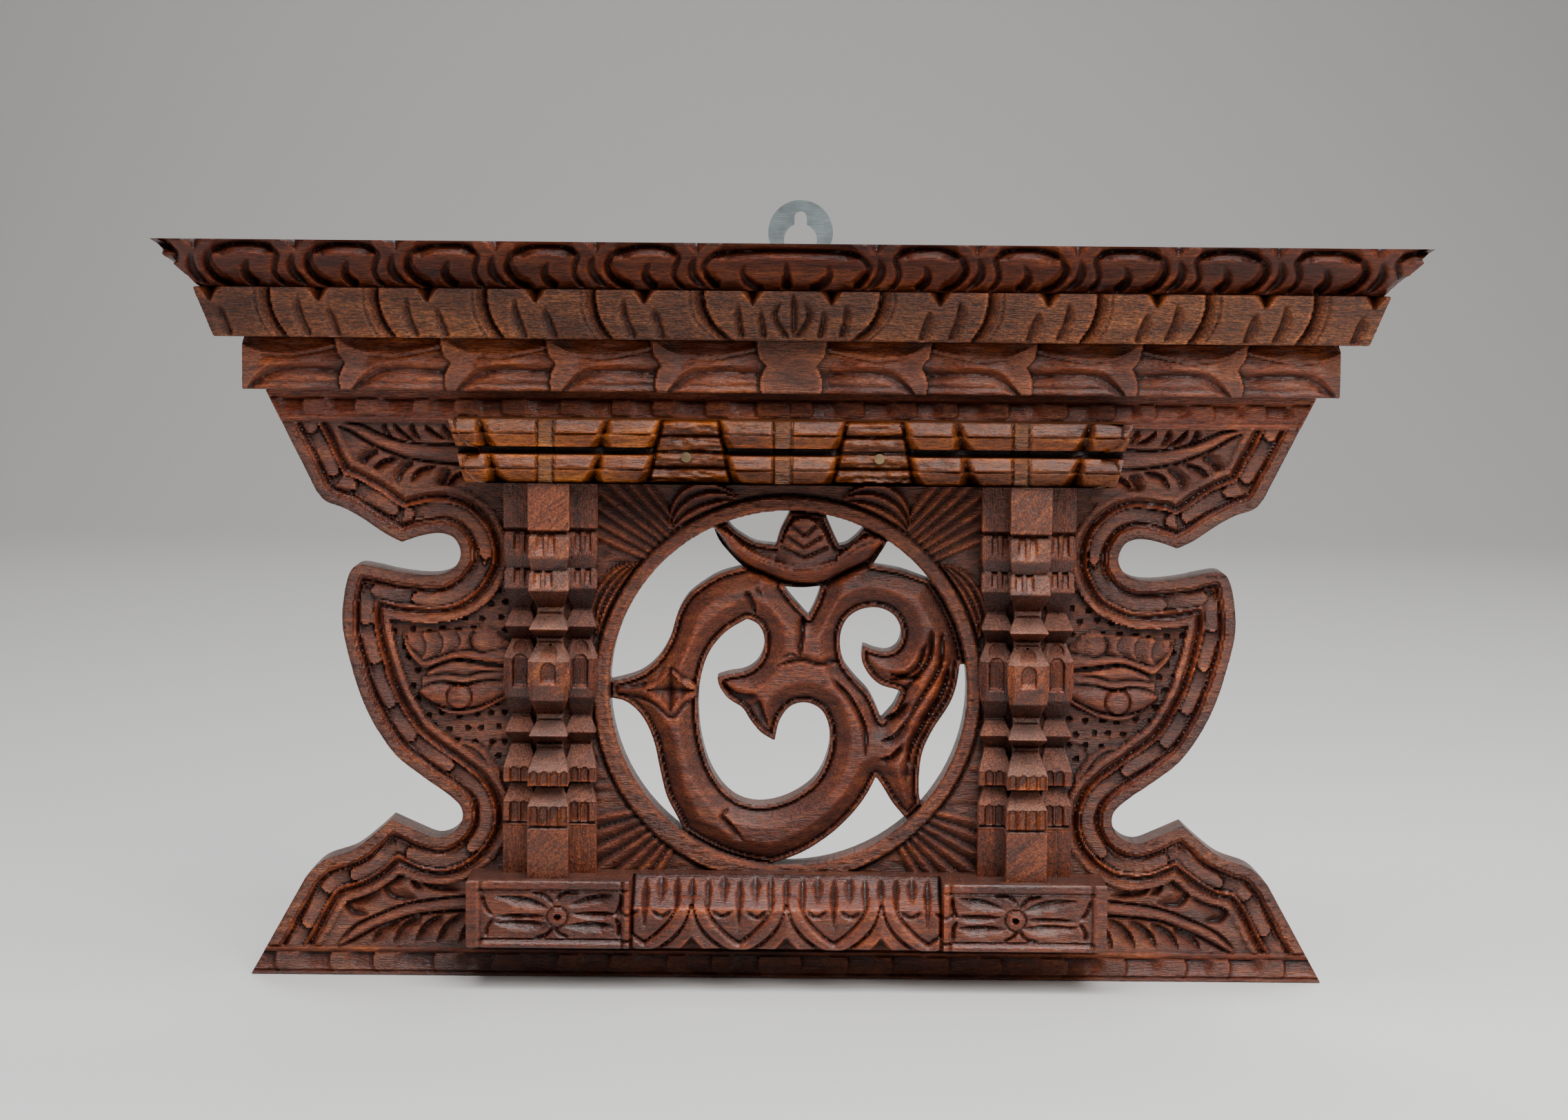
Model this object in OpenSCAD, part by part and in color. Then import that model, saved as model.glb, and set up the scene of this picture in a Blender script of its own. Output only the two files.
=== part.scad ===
// Carved wooden window panel: two edge-glued boards fretted around an open ring, a stacked
// three-plank cornice, a lintel and a sill, two clusters of three carved columns, a keyhole hanger.
// Origin: centre of the bottom edge, halfway through the boards. X right, front faces -Y, Z up.

/* [Panel] */
// Thickness of the two boards
panel_t = 18; // [14:1:22]
// Half width of the base
base_half = 216; // [214:1:220]
// Half width of the top edge
top_half = 209.5; // [206:0.5:212]
// Height of the top edge
panel_h = 236.5; // [236:0.5:240]
// Height of the glue seam
seam_z = 139.5; // [130:0.5:146]

/* [Ring] */
// Radius of the round opening
ring_r = 71.8; // [71:0.2:72.6]
// Height of the opening's centre
ring_z = 117.4; // [117:0.2:118]

/* [Cornice] */
// Height of the leaf moulding
leaf_h = 21; // [16:1:26]
// How far the leaf moulding stands in front of the boards
leaf_out = 11; // [6:1:16]
// Half length of the leaf moulding
leaf_half = 217; // [212:1:222]
// Height of the petal moulding
petal_h = 19.5; // [16:0.5:24]
// How far the petal moulding's lower edge stands in front of the boards
petal_out = 20; // [14:1:24]
// How far the petal moulding's upper edge leans out past its lower edge
petal_lean = 7; // [4:1:9]
// Half length of the petal moulding along its lower edge
petal_half = 226.5; // [222:0.5:230]
// Height of the crown
crown_h = 18.5; // [15:0.5:22]
// How far the crown's lower edge stands in front of the boards
crown_out = 22; // [18:1:26]
// How far the crown's upper edge curves out past its lower edge
crown_lean = 17; // [12:1:20]
// Half length of the crown along its lower edge
crown_half = 232; // [228:1:236]

/* [Lintel and sill] */
// Height of the lintel's underside
lintel_z = 201; // [199:0.5:203]
// Height of the lintel
lintel_h = 25; // [23:0.5:27]
// How far the lintel stands in front of the boards
lintel_out = 24; // [20:1:28]
// Half length of the lintel along its underside
lintel_half = 128.5; // [125:0.5:132]
// Height of the sill's underside
sill_z = 17; // [14:1:18]
// Height of the sill
sill_h = 26.8; // [24:0.2:28]
// How far the sill stands in front of the boards
sill_out = 28; // [24:1:32]
// Half length of the sill
sill_half = 127; // [124:0.5:132]

/* [Columns] */
// Distance from the centre line to the middle of each cluster
cluster_x = 95; // [92:0.5:98]
// Spacing between the strands of a cluster
strand_pitch = 12; // [11.6:0.1:13]
// Half width of a flank strand
flank_half = 6.7; // [6:0.1:7]
// Half width of a front strand
front_half = 8.2; // [7.4:0.1:9]
// Depth of a flank strand
flank_depth = 9; // [7:0.5:11]
// Depth of a front strand in front of the flanks
front_depth = 12.5; // [9:0.5:14]

/* [Hanger and nails] */
// Diameter of the hanger plate
plate_d = 26; // [25:0.5:28]
// Thickness of the hanger plate
plate_t = 1.5; // [1:0.1:2]
// Radius of the keyhole's round hole
keyhole_r = 6.6; // [5.5:0.1:6.8]
// Radius of the keyhole's slot
slot_r = 2.5; // [2:0.1:3]
// Radius of a nail's shank
nail_r = 0.9; // [0.7:0.1:1.1]
// Radius of a nail's head
nail_head_r = 2; // [1.6:0.1:2.4]

/* [Hidden] */

dark_wood = [0.27, 0.11, 0.06];
red_wood = [0.36, 0.15, 0.07];
amber_wood = [0.52, 0.26, 0.09];
zinc = [0.78, 0.82, 0.84];
steel = [0.55, 0.50, 0.42];

front_y = -panel_t / 2;
back_y = panel_t / 2;
far = 400;
big = 120;              // a length past any part's depth
hole_fn = 48;

leaf_z = panel_h;
petal_z = leaf_z + leaf_h;
crown_z = petal_z + petal_h;
crown_top = crown_z + crown_h;
sill_top = sill_z + sill_h;
centre_half = 61.5;     // half length of the sill's carved middle
plate_x = 3.3;          // the hanger sits a little right of centre
plate_z = crown_top + 4.5;
keyhole_drop = 3;       // round hole's centre below the plate's centre
slot_rise = 5.9;        // slot's end centre above the plate's centre
hanger_nail_dx = 8.2;
hanger_nail_drop = 7;
lintel_nail_x = [-41, 35];
lintel_nail_z = lintel_z + 10.5;
lintel_recess = 5;      // the two plain blocks stand this far back
cornice_nail_x = [-180, -60, 60, 180];
cornice_nail_len = 76;
sill_nail_x = [-95, 95];
sill_nail_z = sill_z + 13;
sill_nail_len = 36;

// ---- curves ----

// A smooth curve through the points p, n steps a span, leaving out the last point
function knot(p, i) = p[min(max(i, 0), len(p) - 1)];
function span_point(a, b, c, d, t) =
    (2 * b + (c - a) * t + (2 * a - 5 * b + 4 * c - d) * t * t
     + (3 * b - a - 3 * c + d) * t * t * t) / 2;
function curve(p, n = 4) = [
    for (i = [0:len(p) - 2], s = [0:n - 1])
        span_point(knot(p, i - 1), knot(p, i), knot(p, i + 1), knot(p, i + 2), s / n)
];
function flipped(p) = [for (i = [len(p) - 1:-1:0]) [-p[i][0], p[i][1]]];

// ---- panel outline, right half, from the base up ----

lower_wing = [
    [194, 39.5], [187, 46.2], [175.2, 50.5], [167, 56.6], [159.5, 63.4]
];
lobe = [
    [159.5, 63.4], [149, 58.7], [141.3, 55.9], [135, 57.8], [131, 63], [131.5, 68.7],
    [137, 74], [147, 81], [157.5, 89.4], [165.5, 100.5], [171.5, 113], [176.2, 128.5],
    [178.9, 142], [178.3, 153], [176.2, 162.3], [172.5, 166.1], [165, 165.2], [157.4, 163.5],
    [146.7, 162.2], [138.7, 162.8], [133.6, 165.8], [131.5, 171.2], [134, 177],
    [139.5, 179.1], [147, 178.1], [155, 175.4]
];
upper_wing = [
    [155, 175.4], [161.5, 178.6], [170.7, 184.8], [178, 188.8], [185.3, 191.4], [189.2, 195.6]
];
half_outline = concat(
    [[base_half, 0]], curve(lower_wing), curve(lobe), curve(upper_wing),
    [[189.2, 195.6], [top_half, panel_h]]
);

// ---- the openings left between the ring and its fretwork ----

void_upper_left = concat(
    curve([[-76, 118.6], [-70.4, 119.7], [-60.1, 122.8], [-53, 128.5], [-47.9, 136.8],
           [-44.8, 147.1], [-40.8, 154.3], [-34.7, 159.4], [-27.5, 163.6], [-18.3, 166.2]]),
    curve([[-18.3, 166.2], [-22, 169.5], [-27.6, 175.9], [-30.3, 181.5], [-31.5, 186]]),
    [[-31.5, 186], [-60, 190], [-95, 150], [-90, 119]]
);
void_lower_left = concat(
    curve([[-76, 113], [-70.5, 112.9], [-64.2, 111], [-58.1, 104.8], [-53.9, 95.5],
           [-51.4, 84.2], [-48.8, 73.8], [-44.8, 65.8], [-41, 58.5]]),
    [[-41, 58.5], [-60, 48], [-90, 80]]
);
void_lower_right = concat(
    curve([[-9, 45.4], [-0.4, 48.1], [8.8, 52.3], [19, 59.6], [27.2, 68], [32.3, 75.3],
           [35.6, 82]]),
    curve([[35.6, 82], [38.6, 77.6], [42.6, 71.2], [48.8, 64], [52, 61]]),
    [[52, 61], [45, 38], [0, 30]]
);
void_right = concat(
    curve([[55.5, 65.5], [53, 75.4], [53.7, 89.9], [57.7, 100.2], [64.8, 111.6],
           [67.6, 119.5], [68.8, 127.8]]),
    [[68.8, 127.8], [85, 128.5], [95, 95], [75, 58]]
);
void_upper_right = concat(
    curve([[33.2, 167.4], [36.2, 172], [38.8, 176.6], [41, 182]]),
    [[41, 182], [62, 188], [76, 166]],
    curve([[57.5, 161], [52, 163], [43.9, 165.7], [33.2, 167.4]])
);
void_hook = concat(
    curve([[37.6, 104.6], [35.1, 110.6], [32, 116.2], [26.8, 121.7], [22.2, 127.9],
           [20.6, 135.1], [21.1, 141.3], [23.8, 146.4], [29, 149.7], [35.8, 150.4],
           [42, 147.5], [45.1, 141.4], [44, 135.4], [40, 132.6], [34.9, 133.1], [29.8, 135]]),
    curve([[29.8, 135], [29.4, 129], [32.6, 123], [37.1, 119.2], [42.2, 117.7],
           [45.3, 116.7]]),
    curve([[45.3, 116.7], [42.6, 110.5], [37.6, 104.6]])
);
void_bowl = concat(
    curve([[-5.3, 96.2], [-3.6, 104], [0.2, 109.7], [5.4, 111.8], [10.5, 110.8],
           [14.6, 107.2], [16.8, 100], [16.2, 91.5], [12.7, 82.6], [6.6, 76.2],
           [-2.4, 71.5], [-11.8, 69.9], [-20, 71.9], [-26.4, 77.2], [-31.4, 85.3],
           [-34.6, 95.4], [-36, 105], [-36.1, 115.2], [-34.6, 124.5], [-31.4, 132.8],
           [-25.2, 140.2], [-16.8, 145.4]]),
    curve([[-16.8, 145.4], [-12.8, 143.6], [-10.2, 139.5], [-10, 133.6], [-12.4, 127.8],
           [-17.2, 124.3], [-23.3, 123.1], [-28.6, 121.6]]),
    curve([[-28.6, 121.6], [-27.6, 117.8], [-24.2, 113.2], [-18.4, 109.4], [-15.2, 104.6],
           [-11, 99.6], [-5.3, 96.2]])
);
void_wedge = concat(
    curve([[7.8, 146.4], [5.2, 149.2], [0.6, 154.4], [-2.5, 158.6]]),
    curve([[-2.5, 158.6], [5, 158.1], [12.8, 158.7]]),
    curve([[12.8, 158.7], [10.6, 152.2], [7.8, 146.4]])
);
void_top_left = concat(
    curve([[0.4, 194], [-0.1, 188.6], [-3.6, 181.4], [-5.4, 175.2]]),
    curve([[-5.4, 175.2], [-13.4, 176.2], [-18.5, 178.7], [-23.3, 182.2], [-26.5, 187]]),
    [[-26.5, 187], [-24, 200]]
);
void_top_right = concat(
    curve([[13.8, 194], [14.2, 188], [17.3, 180.4], [19.8, 175.2]]),
    curve([[19.8, 175.2], [23.6, 176.4], [28.8, 181.2], [32.5, 187]]),
    [[32.5, 187], [26, 200]]
);

module ring_openings()
    intersection() {
        translate([0, ring_z]) circle(r = ring_r, $fn = 180);
        union() {
            polygon(void_upper_left);
            polygon(void_lower_left);
            polygon(void_lower_right);
            polygon(void_right);
            polygon(void_upper_right);
            polygon(void_hook);
            polygon(void_bowl);
            polygon(void_wedge);
            polygon(void_top_left);
            polygon(void_top_right);
        }
    }

module panel_face()
    difference() {
        polygon(concat(half_outline, flipped(half_outline)));
        ring_openings();
    }

// A flat shape drawn in X and Z, extruded from y0 (front) to y1 (back)
module slab(y0, y1)
    translate([0, y1, 0]) rotate([90, 0, 0]) linear_extrude(y1 - y0) children();

// A section drawn in Y and Z, extruded along X from x0 to x1
module run(x0, x1)
    translate([x0, 0, 0]) rotate([90, 0, 90]) linear_extrude(x1 - x0) children();

// ---- nails and the holes that hold them ----

module nail(len)
    union() {
        cylinder(h = len, r = nail_r, $fn = hole_fn);
        translate([0, 0, len - nail_r]) cylinder(h = nail_r, r = nail_head_r, $fn = hole_fn);
    }

module cornice_nail_set()
    for (x = cornice_nail_x)
        translate([x, 0, crown_top - cornice_nail_len]) nail(cornice_nail_len);

module sill_nail_set()
    for (x = sill_nail_x)
        translate([x, back_y - sill_nail_len, sill_nail_z]) rotate([-90, 0, 0])
            nail(sill_nail_len);

lintel_nail_front = front_y - lintel_out + lintel_recess;
lintel_nail_len = 30;
module lintel_nail_set()
    for (x = lintel_nail_x)
        translate([x, lintel_nail_front + lintel_nail_len - nail_r, lintel_nail_z])
            rotate([90, 0, 0]) nail(lintel_nail_len);

hanger_nail_len = 14;
module hanger_nail_set()
    for (side = [-1, 1])
        translate([plate_x + side * hanger_nail_dx, back_y + plate_t + nail_r - hanger_nail_len,
                   plate_z - hanger_nail_drop])
            rotate([-90, 0, 0]) nail(hanger_nail_len);

// ---- boards ----

module board(z0, z1)
    slab(front_y, back_y) intersection() {
        panel_face();
        translate([-far, z0]) square([2 * far, z1 - z0]);
    }

module panel_upper_board()
    color(red_wood) difference() {
        board(seam_z, panel_h);
        cornice_nail_set();
        lintel_nail_set();
    }

module panel_lower_board()
    color(dark_wood) difference() {
        board(0, seam_z);
        sill_nail_set();
    }

// ---- cornice: each plank is its section run along X, cut to its mitred ends ----

module plank(half_low, half_high, z0, h, end_points)
    intersection() {
        run(-far, far) children();
        slab(-big, big) polygon(concat(
            [[half_low, z0]], [for (p = end_points) [half_low + p[0], z0 + p[1]]],
            [[half_high, z0 + h], [-half_high, z0 + h]],
            flipped([for (p = end_points) [half_low + p[0], z0 + p[1]]]),
            [[-half_low, z0]]));
    }

module leaf_moulding()
    color(red_wood) difference() {
        plank(leaf_half, leaf_half, leaf_z, leaf_h, [])
            translate([front_y - leaf_out, leaf_z]) square([panel_t + leaf_out, leaf_h]);
        cornice_nail_set();
    }

module petal_moulding()
    color(red_wood) difference() {
        plank(petal_half, petal_half + petal_lean, petal_z, petal_h, [])
            polygon([
                [back_y, petal_z], [front_y - petal_out, petal_z],
                [front_y - petal_out - petal_lean, crown_z], [back_y, crown_z]]);
        cornice_nail_set();
    }

// The crown's face swells outward and back under its top edge
crown_swell = [for (t = [1:7]) [crown_lean * (1 - cos(90 * t / 8)) * 0.55
                                + crown_lean * 0.45 * t / 8, crown_h * t / 8]];
module crown()
    color(dark_wood) difference() {
        plank(crown_half, crown_half + crown_lean, crown_z, crown_h, crown_swell)
            polygon(concat(
                [[back_y, crown_z], [front_y - crown_out, crown_z]],
                [for (p = crown_swell) [front_y - crown_out - p[0], crown_z + p[1]]],
                [[front_y - crown_out - crown_lean, crown_top], [back_y, crown_top]]));
        cornice_nail_set();
        hanger_nail_set();
        screw_head_pocket();
    }

// Room behind the keyhole for the wall screw's head
pocket_depth = 4;
module screw_head_pocket()
    translate([plate_x, back_y - pocket_depth, plate_z - keyhole_drop]) rotate([-90, 0, 0])
        cylinder(h = pocket_depth + 1, r = keyhole_r + 0.6, $fn = hole_fn);

// ---- lintel: four bevelled strips with a dark slot between the pairs ----

bevel = 2;
slot_half = 1;
slot_depth = 10;
module lintel_section() {
    f = front_y - lintel_out;
    mid = lintel_z + lintel_h / 2;
    pair_h = lintel_h / 2 - slot_half;
    strip = pair_h / 2;
    polygon(concat(
        [[front_y, lintel_z]],
        [for (base = [lintel_z, mid + slot_half]) each concat(
            base > mid ? [[f + slot_depth, base]] : [],
            [[f + bevel, base], [f, base + bevel], [f, base + strip - bevel / 2],
             [f + bevel, base + strip],
             [f, base + strip + bevel / 2], [f, base + pair_h - bevel],
             [f + bevel, base + pair_h]],
            base < mid ? [[f + slot_depth, base + pair_h]] : [])],
        [[front_y, lintel_z + lintel_h]]));
}

module lintel()
    color(amber_wood) difference() {
        intersection() {
            run(-far, far) lintel_section();
            slab(-big, big) polygon([
                [lintel_half, lintel_z], [lintel_half + 6.5, lintel_z + lintel_h],
                [-lintel_half - 6.5, lintel_z + lintel_h], [-lintel_half, lintel_z]]);
        }
        for (x0 = [-52, 23.5])
            translate([x0, front_y - lintel_out - 1, lintel_z - 1])
                cube([22, lintel_recess + 1, lintel_h + 2]);
        lintel_nail_set();
    }

// ---- sill: two square blocks and a middle that slopes out to a notched lower edge ----

notch_x = [-38, 0, 38];
notch_half = 7;
notch_h = 6;
middle_set_back = 17;   // top front edge of the middle, behind the blocks' faces
middle_slope_h = 11;
module sill()
    color(red_wood) difference() {
        union() {
            for (side = [-1, 1])
                translate([side * (sill_half + centre_half) / 2, front_y - sill_out / 2,
                           sill_z + sill_h / 2])
                    cube([sill_half - centre_half, sill_out, sill_h], center = true);
            run(-centre_half, centre_half) polygon([
                [front_y, sill_z], [front_y - sill_out, sill_z],
                [front_y - sill_out, sill_top - middle_slope_h],
                [front_y - sill_out + middle_set_back, sill_top], [front_y, sill_top]]);
        }
        slab(front_y - sill_out - 1, front_y - sill_out + 12)
            for (x = notch_x) polygon([
                [x - notch_half, sill_z - 0.01], [x + notch_half, sill_z - 0.01],
                [x, sill_z + notch_h]]);
        sill_nail_set();
    }

// ---- columns ----

// Heights as a share of the column, with the share of its half width at each height
column_h = lintel_z - sill_top;
strand_profile = [
    [0, 1], [0.124, 1], [0.128, 0.85], [0.134, 1], [0.183, 0.98], [0.228, 0.6],
    [0.234, 0.98], [0.27, 0.98], [0.328, 0.58], [0.361, 0.94], [0.398, 0.56],
    [0.45, 0.92], [0.49, 1], [0.55, 1], [0.596, 0.56], [0.631, 0.94], [0.67, 0.56],
    [0.728, 0.98], [0.77, 0.94], [0.776, 0.85], [0.81, 0.98], [0.862, 0.96],
    [0.873, 0.85], [0.882, 1], [1, 1]
];

module strand(half, depth, y_back)
    intersection() {
        slab(-big, big) polygon(concat(
            [for (p = strand_profile) [half * p[1], sill_top + column_h * p[0]]],
            flipped([for (p = strand_profile) [half * p[1], sill_top + column_h * p[0]]])));
        run(-half, half) polygon(concat(
            [[y_back, sill_top]],
            [for (p = strand_profile)
                [y_back - depth * (2 * p[1] - 1), sill_top + column_h * p[0]]],
            [[y_back, sill_top + column_h]]));
    }

module flank_strand(x)
    color(dark_wood) translate([x, 0, 0]) strand(flank_half, flank_depth, front_y);

// The front strand has a straight spine that reaches back between the flanks
module front_strand(x)
    color(red_wood) translate([x, 0, 0]) union() {
        strand(front_half, front_depth, front_y - flank_depth);
        translate([flank_half - strand_pitch, front_y - flank_depth, sill_top])
            cube([2 * (strand_pitch - flank_half), flank_depth, column_h]);
    }

module column_left_outer() flank_strand(-cluster_x - strand_pitch);
module column_left_front() front_strand(-cluster_x);
module column_left_inner() flank_strand(-cluster_x + strand_pitch);
module column_right_inner() flank_strand(cluster_x - strand_pitch);
module column_right_front() front_strand(cluster_x);
module column_right_outer() flank_strand(cluster_x + strand_pitch);

// ---- hanger ----

module hanger_plate()
    color(zinc) difference() {
        translate([plate_x, back_y, plate_z]) rotate([-90, 0, 0])
            cylinder(h = plate_t, r = plate_d / 2, $fn = 96);
        translate([plate_x, back_y - 1, plate_z - keyhole_drop]) rotate([-90, 0, 0])
            cylinder(h = plate_t + 2, r = keyhole_r, $fn = hole_fn);
        translate([plate_x, back_y - 1, plate_z + slot_rise]) rotate([-90, 0, 0])
            cylinder(h = plate_t + 2, r = slot_r, $fn = hole_fn);
        translate([plate_x - slot_r, back_y - 1, plate_z])
            cube([2 * slot_r, plate_t + 2, slot_rise]);
        hanger_nail_set();
    }

module hanger_nails() color(zinc) hanger_nail_set();
module lintel_nails() color(steel) lintel_nail_set();
module cornice_nails() color(steel) cornice_nail_set();
module sill_nails() color(steel) sill_nail_set();

panel_upper_board();
panel_lower_board();
leaf_moulding();
petal_moulding();
crown();
lintel();
sill();
column_left_outer();
column_left_front();
column_left_inner();
column_right_inner();
column_right_front();
column_right_outer();
hanger_plate();
hanger_nails();
lintel_nails();
cornice_nails();
sill_nails();
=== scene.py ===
"""Looks of the carved window wall hanging: carved boards, mouldings, columns and hanger."""
import math

import bpy
import numpy as np
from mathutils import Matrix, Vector
from mathutils.geometry import delaunay_2d_cdt


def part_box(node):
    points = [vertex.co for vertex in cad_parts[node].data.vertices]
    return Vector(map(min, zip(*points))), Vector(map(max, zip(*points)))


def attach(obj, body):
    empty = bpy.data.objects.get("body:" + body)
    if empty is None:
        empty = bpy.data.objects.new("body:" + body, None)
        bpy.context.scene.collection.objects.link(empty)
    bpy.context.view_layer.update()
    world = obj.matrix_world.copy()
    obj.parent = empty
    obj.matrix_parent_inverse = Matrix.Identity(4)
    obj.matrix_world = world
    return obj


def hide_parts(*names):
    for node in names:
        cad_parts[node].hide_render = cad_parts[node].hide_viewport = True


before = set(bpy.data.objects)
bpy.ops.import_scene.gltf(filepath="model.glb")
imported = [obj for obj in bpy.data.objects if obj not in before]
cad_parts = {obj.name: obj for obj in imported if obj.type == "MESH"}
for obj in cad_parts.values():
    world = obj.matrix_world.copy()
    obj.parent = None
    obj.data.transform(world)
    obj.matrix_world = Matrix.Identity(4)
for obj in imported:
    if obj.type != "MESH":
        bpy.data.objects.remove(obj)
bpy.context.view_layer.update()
MM = 0.001
rng = np.random.default_rng(7)

# ---------------------------------------------------------------- sizes from the frame


def box_mm(node):
    """Lowest and highest corner of a CAD node in millimetres."""
    low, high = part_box(node)
    return np.array(low) * 1000, np.array(high) * 1000


LOWER_LOW, LOWER_HIGH = box_mm("panel_lower_board")
FRONT, BACK, SEAM = LOWER_LOW[1], LOWER_HIGH[1], LOWER_HIGH[2]
TOP = box_mm("panel_upper_board")[1][2]
SILL_HIGH = box_mm("sill")[1]
LINTEL_LOW = box_mm("lintel")[0]
GRID = 0.7          # spacing of the boards' points
FAR = 1e9

# ---------------------------------------------------------------- curves and noise


def smooth(points):
    """Catmull-Rom curve through the points, six steps a span."""
    p = np.array(points, float)
    q = np.vstack([p[0], p, p[-1]])
    t = np.linspace(0, 1, 6, endpoint=False)[:, None]
    parts = []
    for i in range(len(p) - 1):
        a, b, c, d = q[i], q[i + 1], q[i + 2], q[i + 3]
        parts.append((2 * b + (c - a) * t + (2 * a - 5 * b + 4 * c - d) * t ** 2
                      + (3 * b - a - 3 * c + d) * t ** 3) / 2)
    return np.vstack(parts + [p[-1:]])


def value_noise(x, y, seed):
    """Smooth noise from -1 to 1 on a unit lattice."""
    table = np.random.default_rng(seed).uniform(-1, 1, (64, 64))
    xi, yi = np.floor(x).astype(int), np.floor(y).astype(int)
    fx, fy = x - xi, y - yi
    fx, fy = fx * fx * (3 - 2 * fx), fy * fy * (3 - 2 * fy)
    a, b = table[yi % 64, xi % 64], table[yi % 64, (xi + 1) % 64]
    c, d = table[(yi + 1) % 64, xi % 64], table[(yi + 1) % 64, (xi + 1) % 64]
    return (a * (1 - fx) + b * fx) * (1 - fy) + (c * (1 - fx) + d * fx) * fy


def unit(t):
    """t, held between 0 and 1."""
    return np.clip(t, 0, 1)


def bump(t):
    """1 at t = 0 falling smoothly to 0 at |t| = 1."""
    return unit(1 - t * t)


def vee(dist, half=1.0):
    """A V-shaped cut: 1 on the line, 0 at half its width away."""
    return unit(1 - np.abs(dist) / half)


def one_sided(t):
    """1 at t = 0, with a steep side below it and a long slope above."""
    return np.where(t < 0, unit(1 + 4 * t), unit(1 - t) ** 1.3)


def step(t, a, b):
    """Smooth step from 0 at a to 1 at b."""
    u = unit((t - a) / (b - a))
    return u * u * (3 - 2 * u)


def to_chain(x, z, chain):
    """Distance to a polyline (positive on its right), and the arc length of the nearest point."""
    a, b = chain[:-1], chain[1:]
    e = b - a
    length = np.maximum(np.hypot(e[:, 0], e[:, 1]), 1e-9)
    start = np.concatenate([[0], np.cumsum(length)[:-1]])
    best = np.full(x.shape, FAR)
    arc, hand = np.zeros(x.shape), np.ones(x.shape)
    for i in range(len(a)):
        px, pz = x - a[i, 0], z - a[i, 1]
        t = unit((px * e[i, 0] + pz * e[i, 1]) / length[i] ** 2)
        d = np.hypot(px - t * e[i, 0], pz - t * e[i, 1])
        near = d < best
        best = np.where(near, d, best)
        arc = np.where(near, start[i] + t * length[i], arc)
        hand = np.where(near, np.where(px * e[i, 1] - pz * e[i, 0] > 0, 1, -1), hand)
    return best * hand, arc


# ---------------------------------------------------------------- outlines of the boards


def edge_key(a, b):
    """One name for an edge, whichever end comes first."""
    return min(a, b), max(a, b)


def front_edges():
    """Outline edges of both boards' front faces, without the glue seam."""
    seen = {}
    for node in ("panel_upper_board", "panel_lower_board"):
        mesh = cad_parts[node].data
        pts = [(round(v.co.x * 1000, 3), round(v.co.y * 1000, 3), round(v.co.z * 1000, 3))
               for v in mesh.vertices]
        for poly in mesh.polygons:
            if any(abs(pts[i][1] - FRONT) > 0.01 for i in poly.vertices):
                continue
            loop = list(poly.vertices)
            for i, j in zip(loop, loop[1:] + loop[:1]):
                key = edge_key((pts[i][0], pts[i][2]), (pts[j][0], pts[j][2]))
                seen[key] = seen.get(key, 0) + 1
    edges = [k for k, n in seen.items() if n == 1]
    return [e for e in edges if not all(abs(p[1] - SEAM) < 0.01 for p in e)]


def chain_up(edges):
    """Join edges into polylines."""
    links = {}
    for a, b in edges:
        links.setdefault(a, []).append(b)
        links.setdefault(b, []).append(a)
    chains = []
    left = set(edges)
    while left:
        ends = [p for e in left for p in e if len(links[p]) == 1]
        line = [min(ends) if ends else min(left)[0]]
        if not ends:
            line.append(min(left)[1])
            left.discard(edge_key(*line))
        while True:
            here = line[-1]
            onward = [q for q in links[here] if edge_key(here, q) in left]
            if not onward:
                break
            left.discard(edge_key(here, onward[0]))
            line.append(onward[0])
        chains.append(np.array(line))
    return chains


EDGES = front_edges()
flat_ends = [e for e in EDGES if all(abs(p[1]) < 0.01 for p in e)
             or all(abs(p[1] - TOP) < 0.01 for p in e)]
CHAINS = chain_up([e for e in EDGES if e not in flat_ends])
SIDE = max((c for c in CHAINS if c[:, 0].min() > 80), key=len)
if SIDE[0, 1] > SIDE[-1, 1]:
    SIDE = SIDE[::-1]
VOIDS = [c for c in CHAINS if np.abs(c[:, 0]).max() < 80]
ring_points = np.vstack([c for c in VOIDS if c[:, 1].max() < LINTEL_LOW[2]])
RING_Z = (ring_points[:, 1].max() + ring_points[:, 1].min()) / 2
RING_R = (ring_points[:, 1].max() - ring_points[:, 1].min()) / 2


def on_boards(x, z):
    """True where a point lies on the boards; row k of x holds the points at height z[k]."""
    a, b = np.array(EDGES)[:, 0], np.array(EDGES)[:, 1]
    out = np.zeros(x.shape, bool)
    for row, height in enumerate(z + 1e-5):
        hit = (a[:, 1] > height) != (b[:, 1] > height)
        p, q = a[hit], b[hit]
        cross = np.sort(p[:, 0] + (height - p[:, 1]) * (q[:, 0] - p[:, 0]) / (q[:, 1] - p[:, 1]))
        out[row] = np.searchsorted(cross, x[row]) % 2 == 1
    return out


# ---------------------------------------------------------------- relief carving


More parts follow.
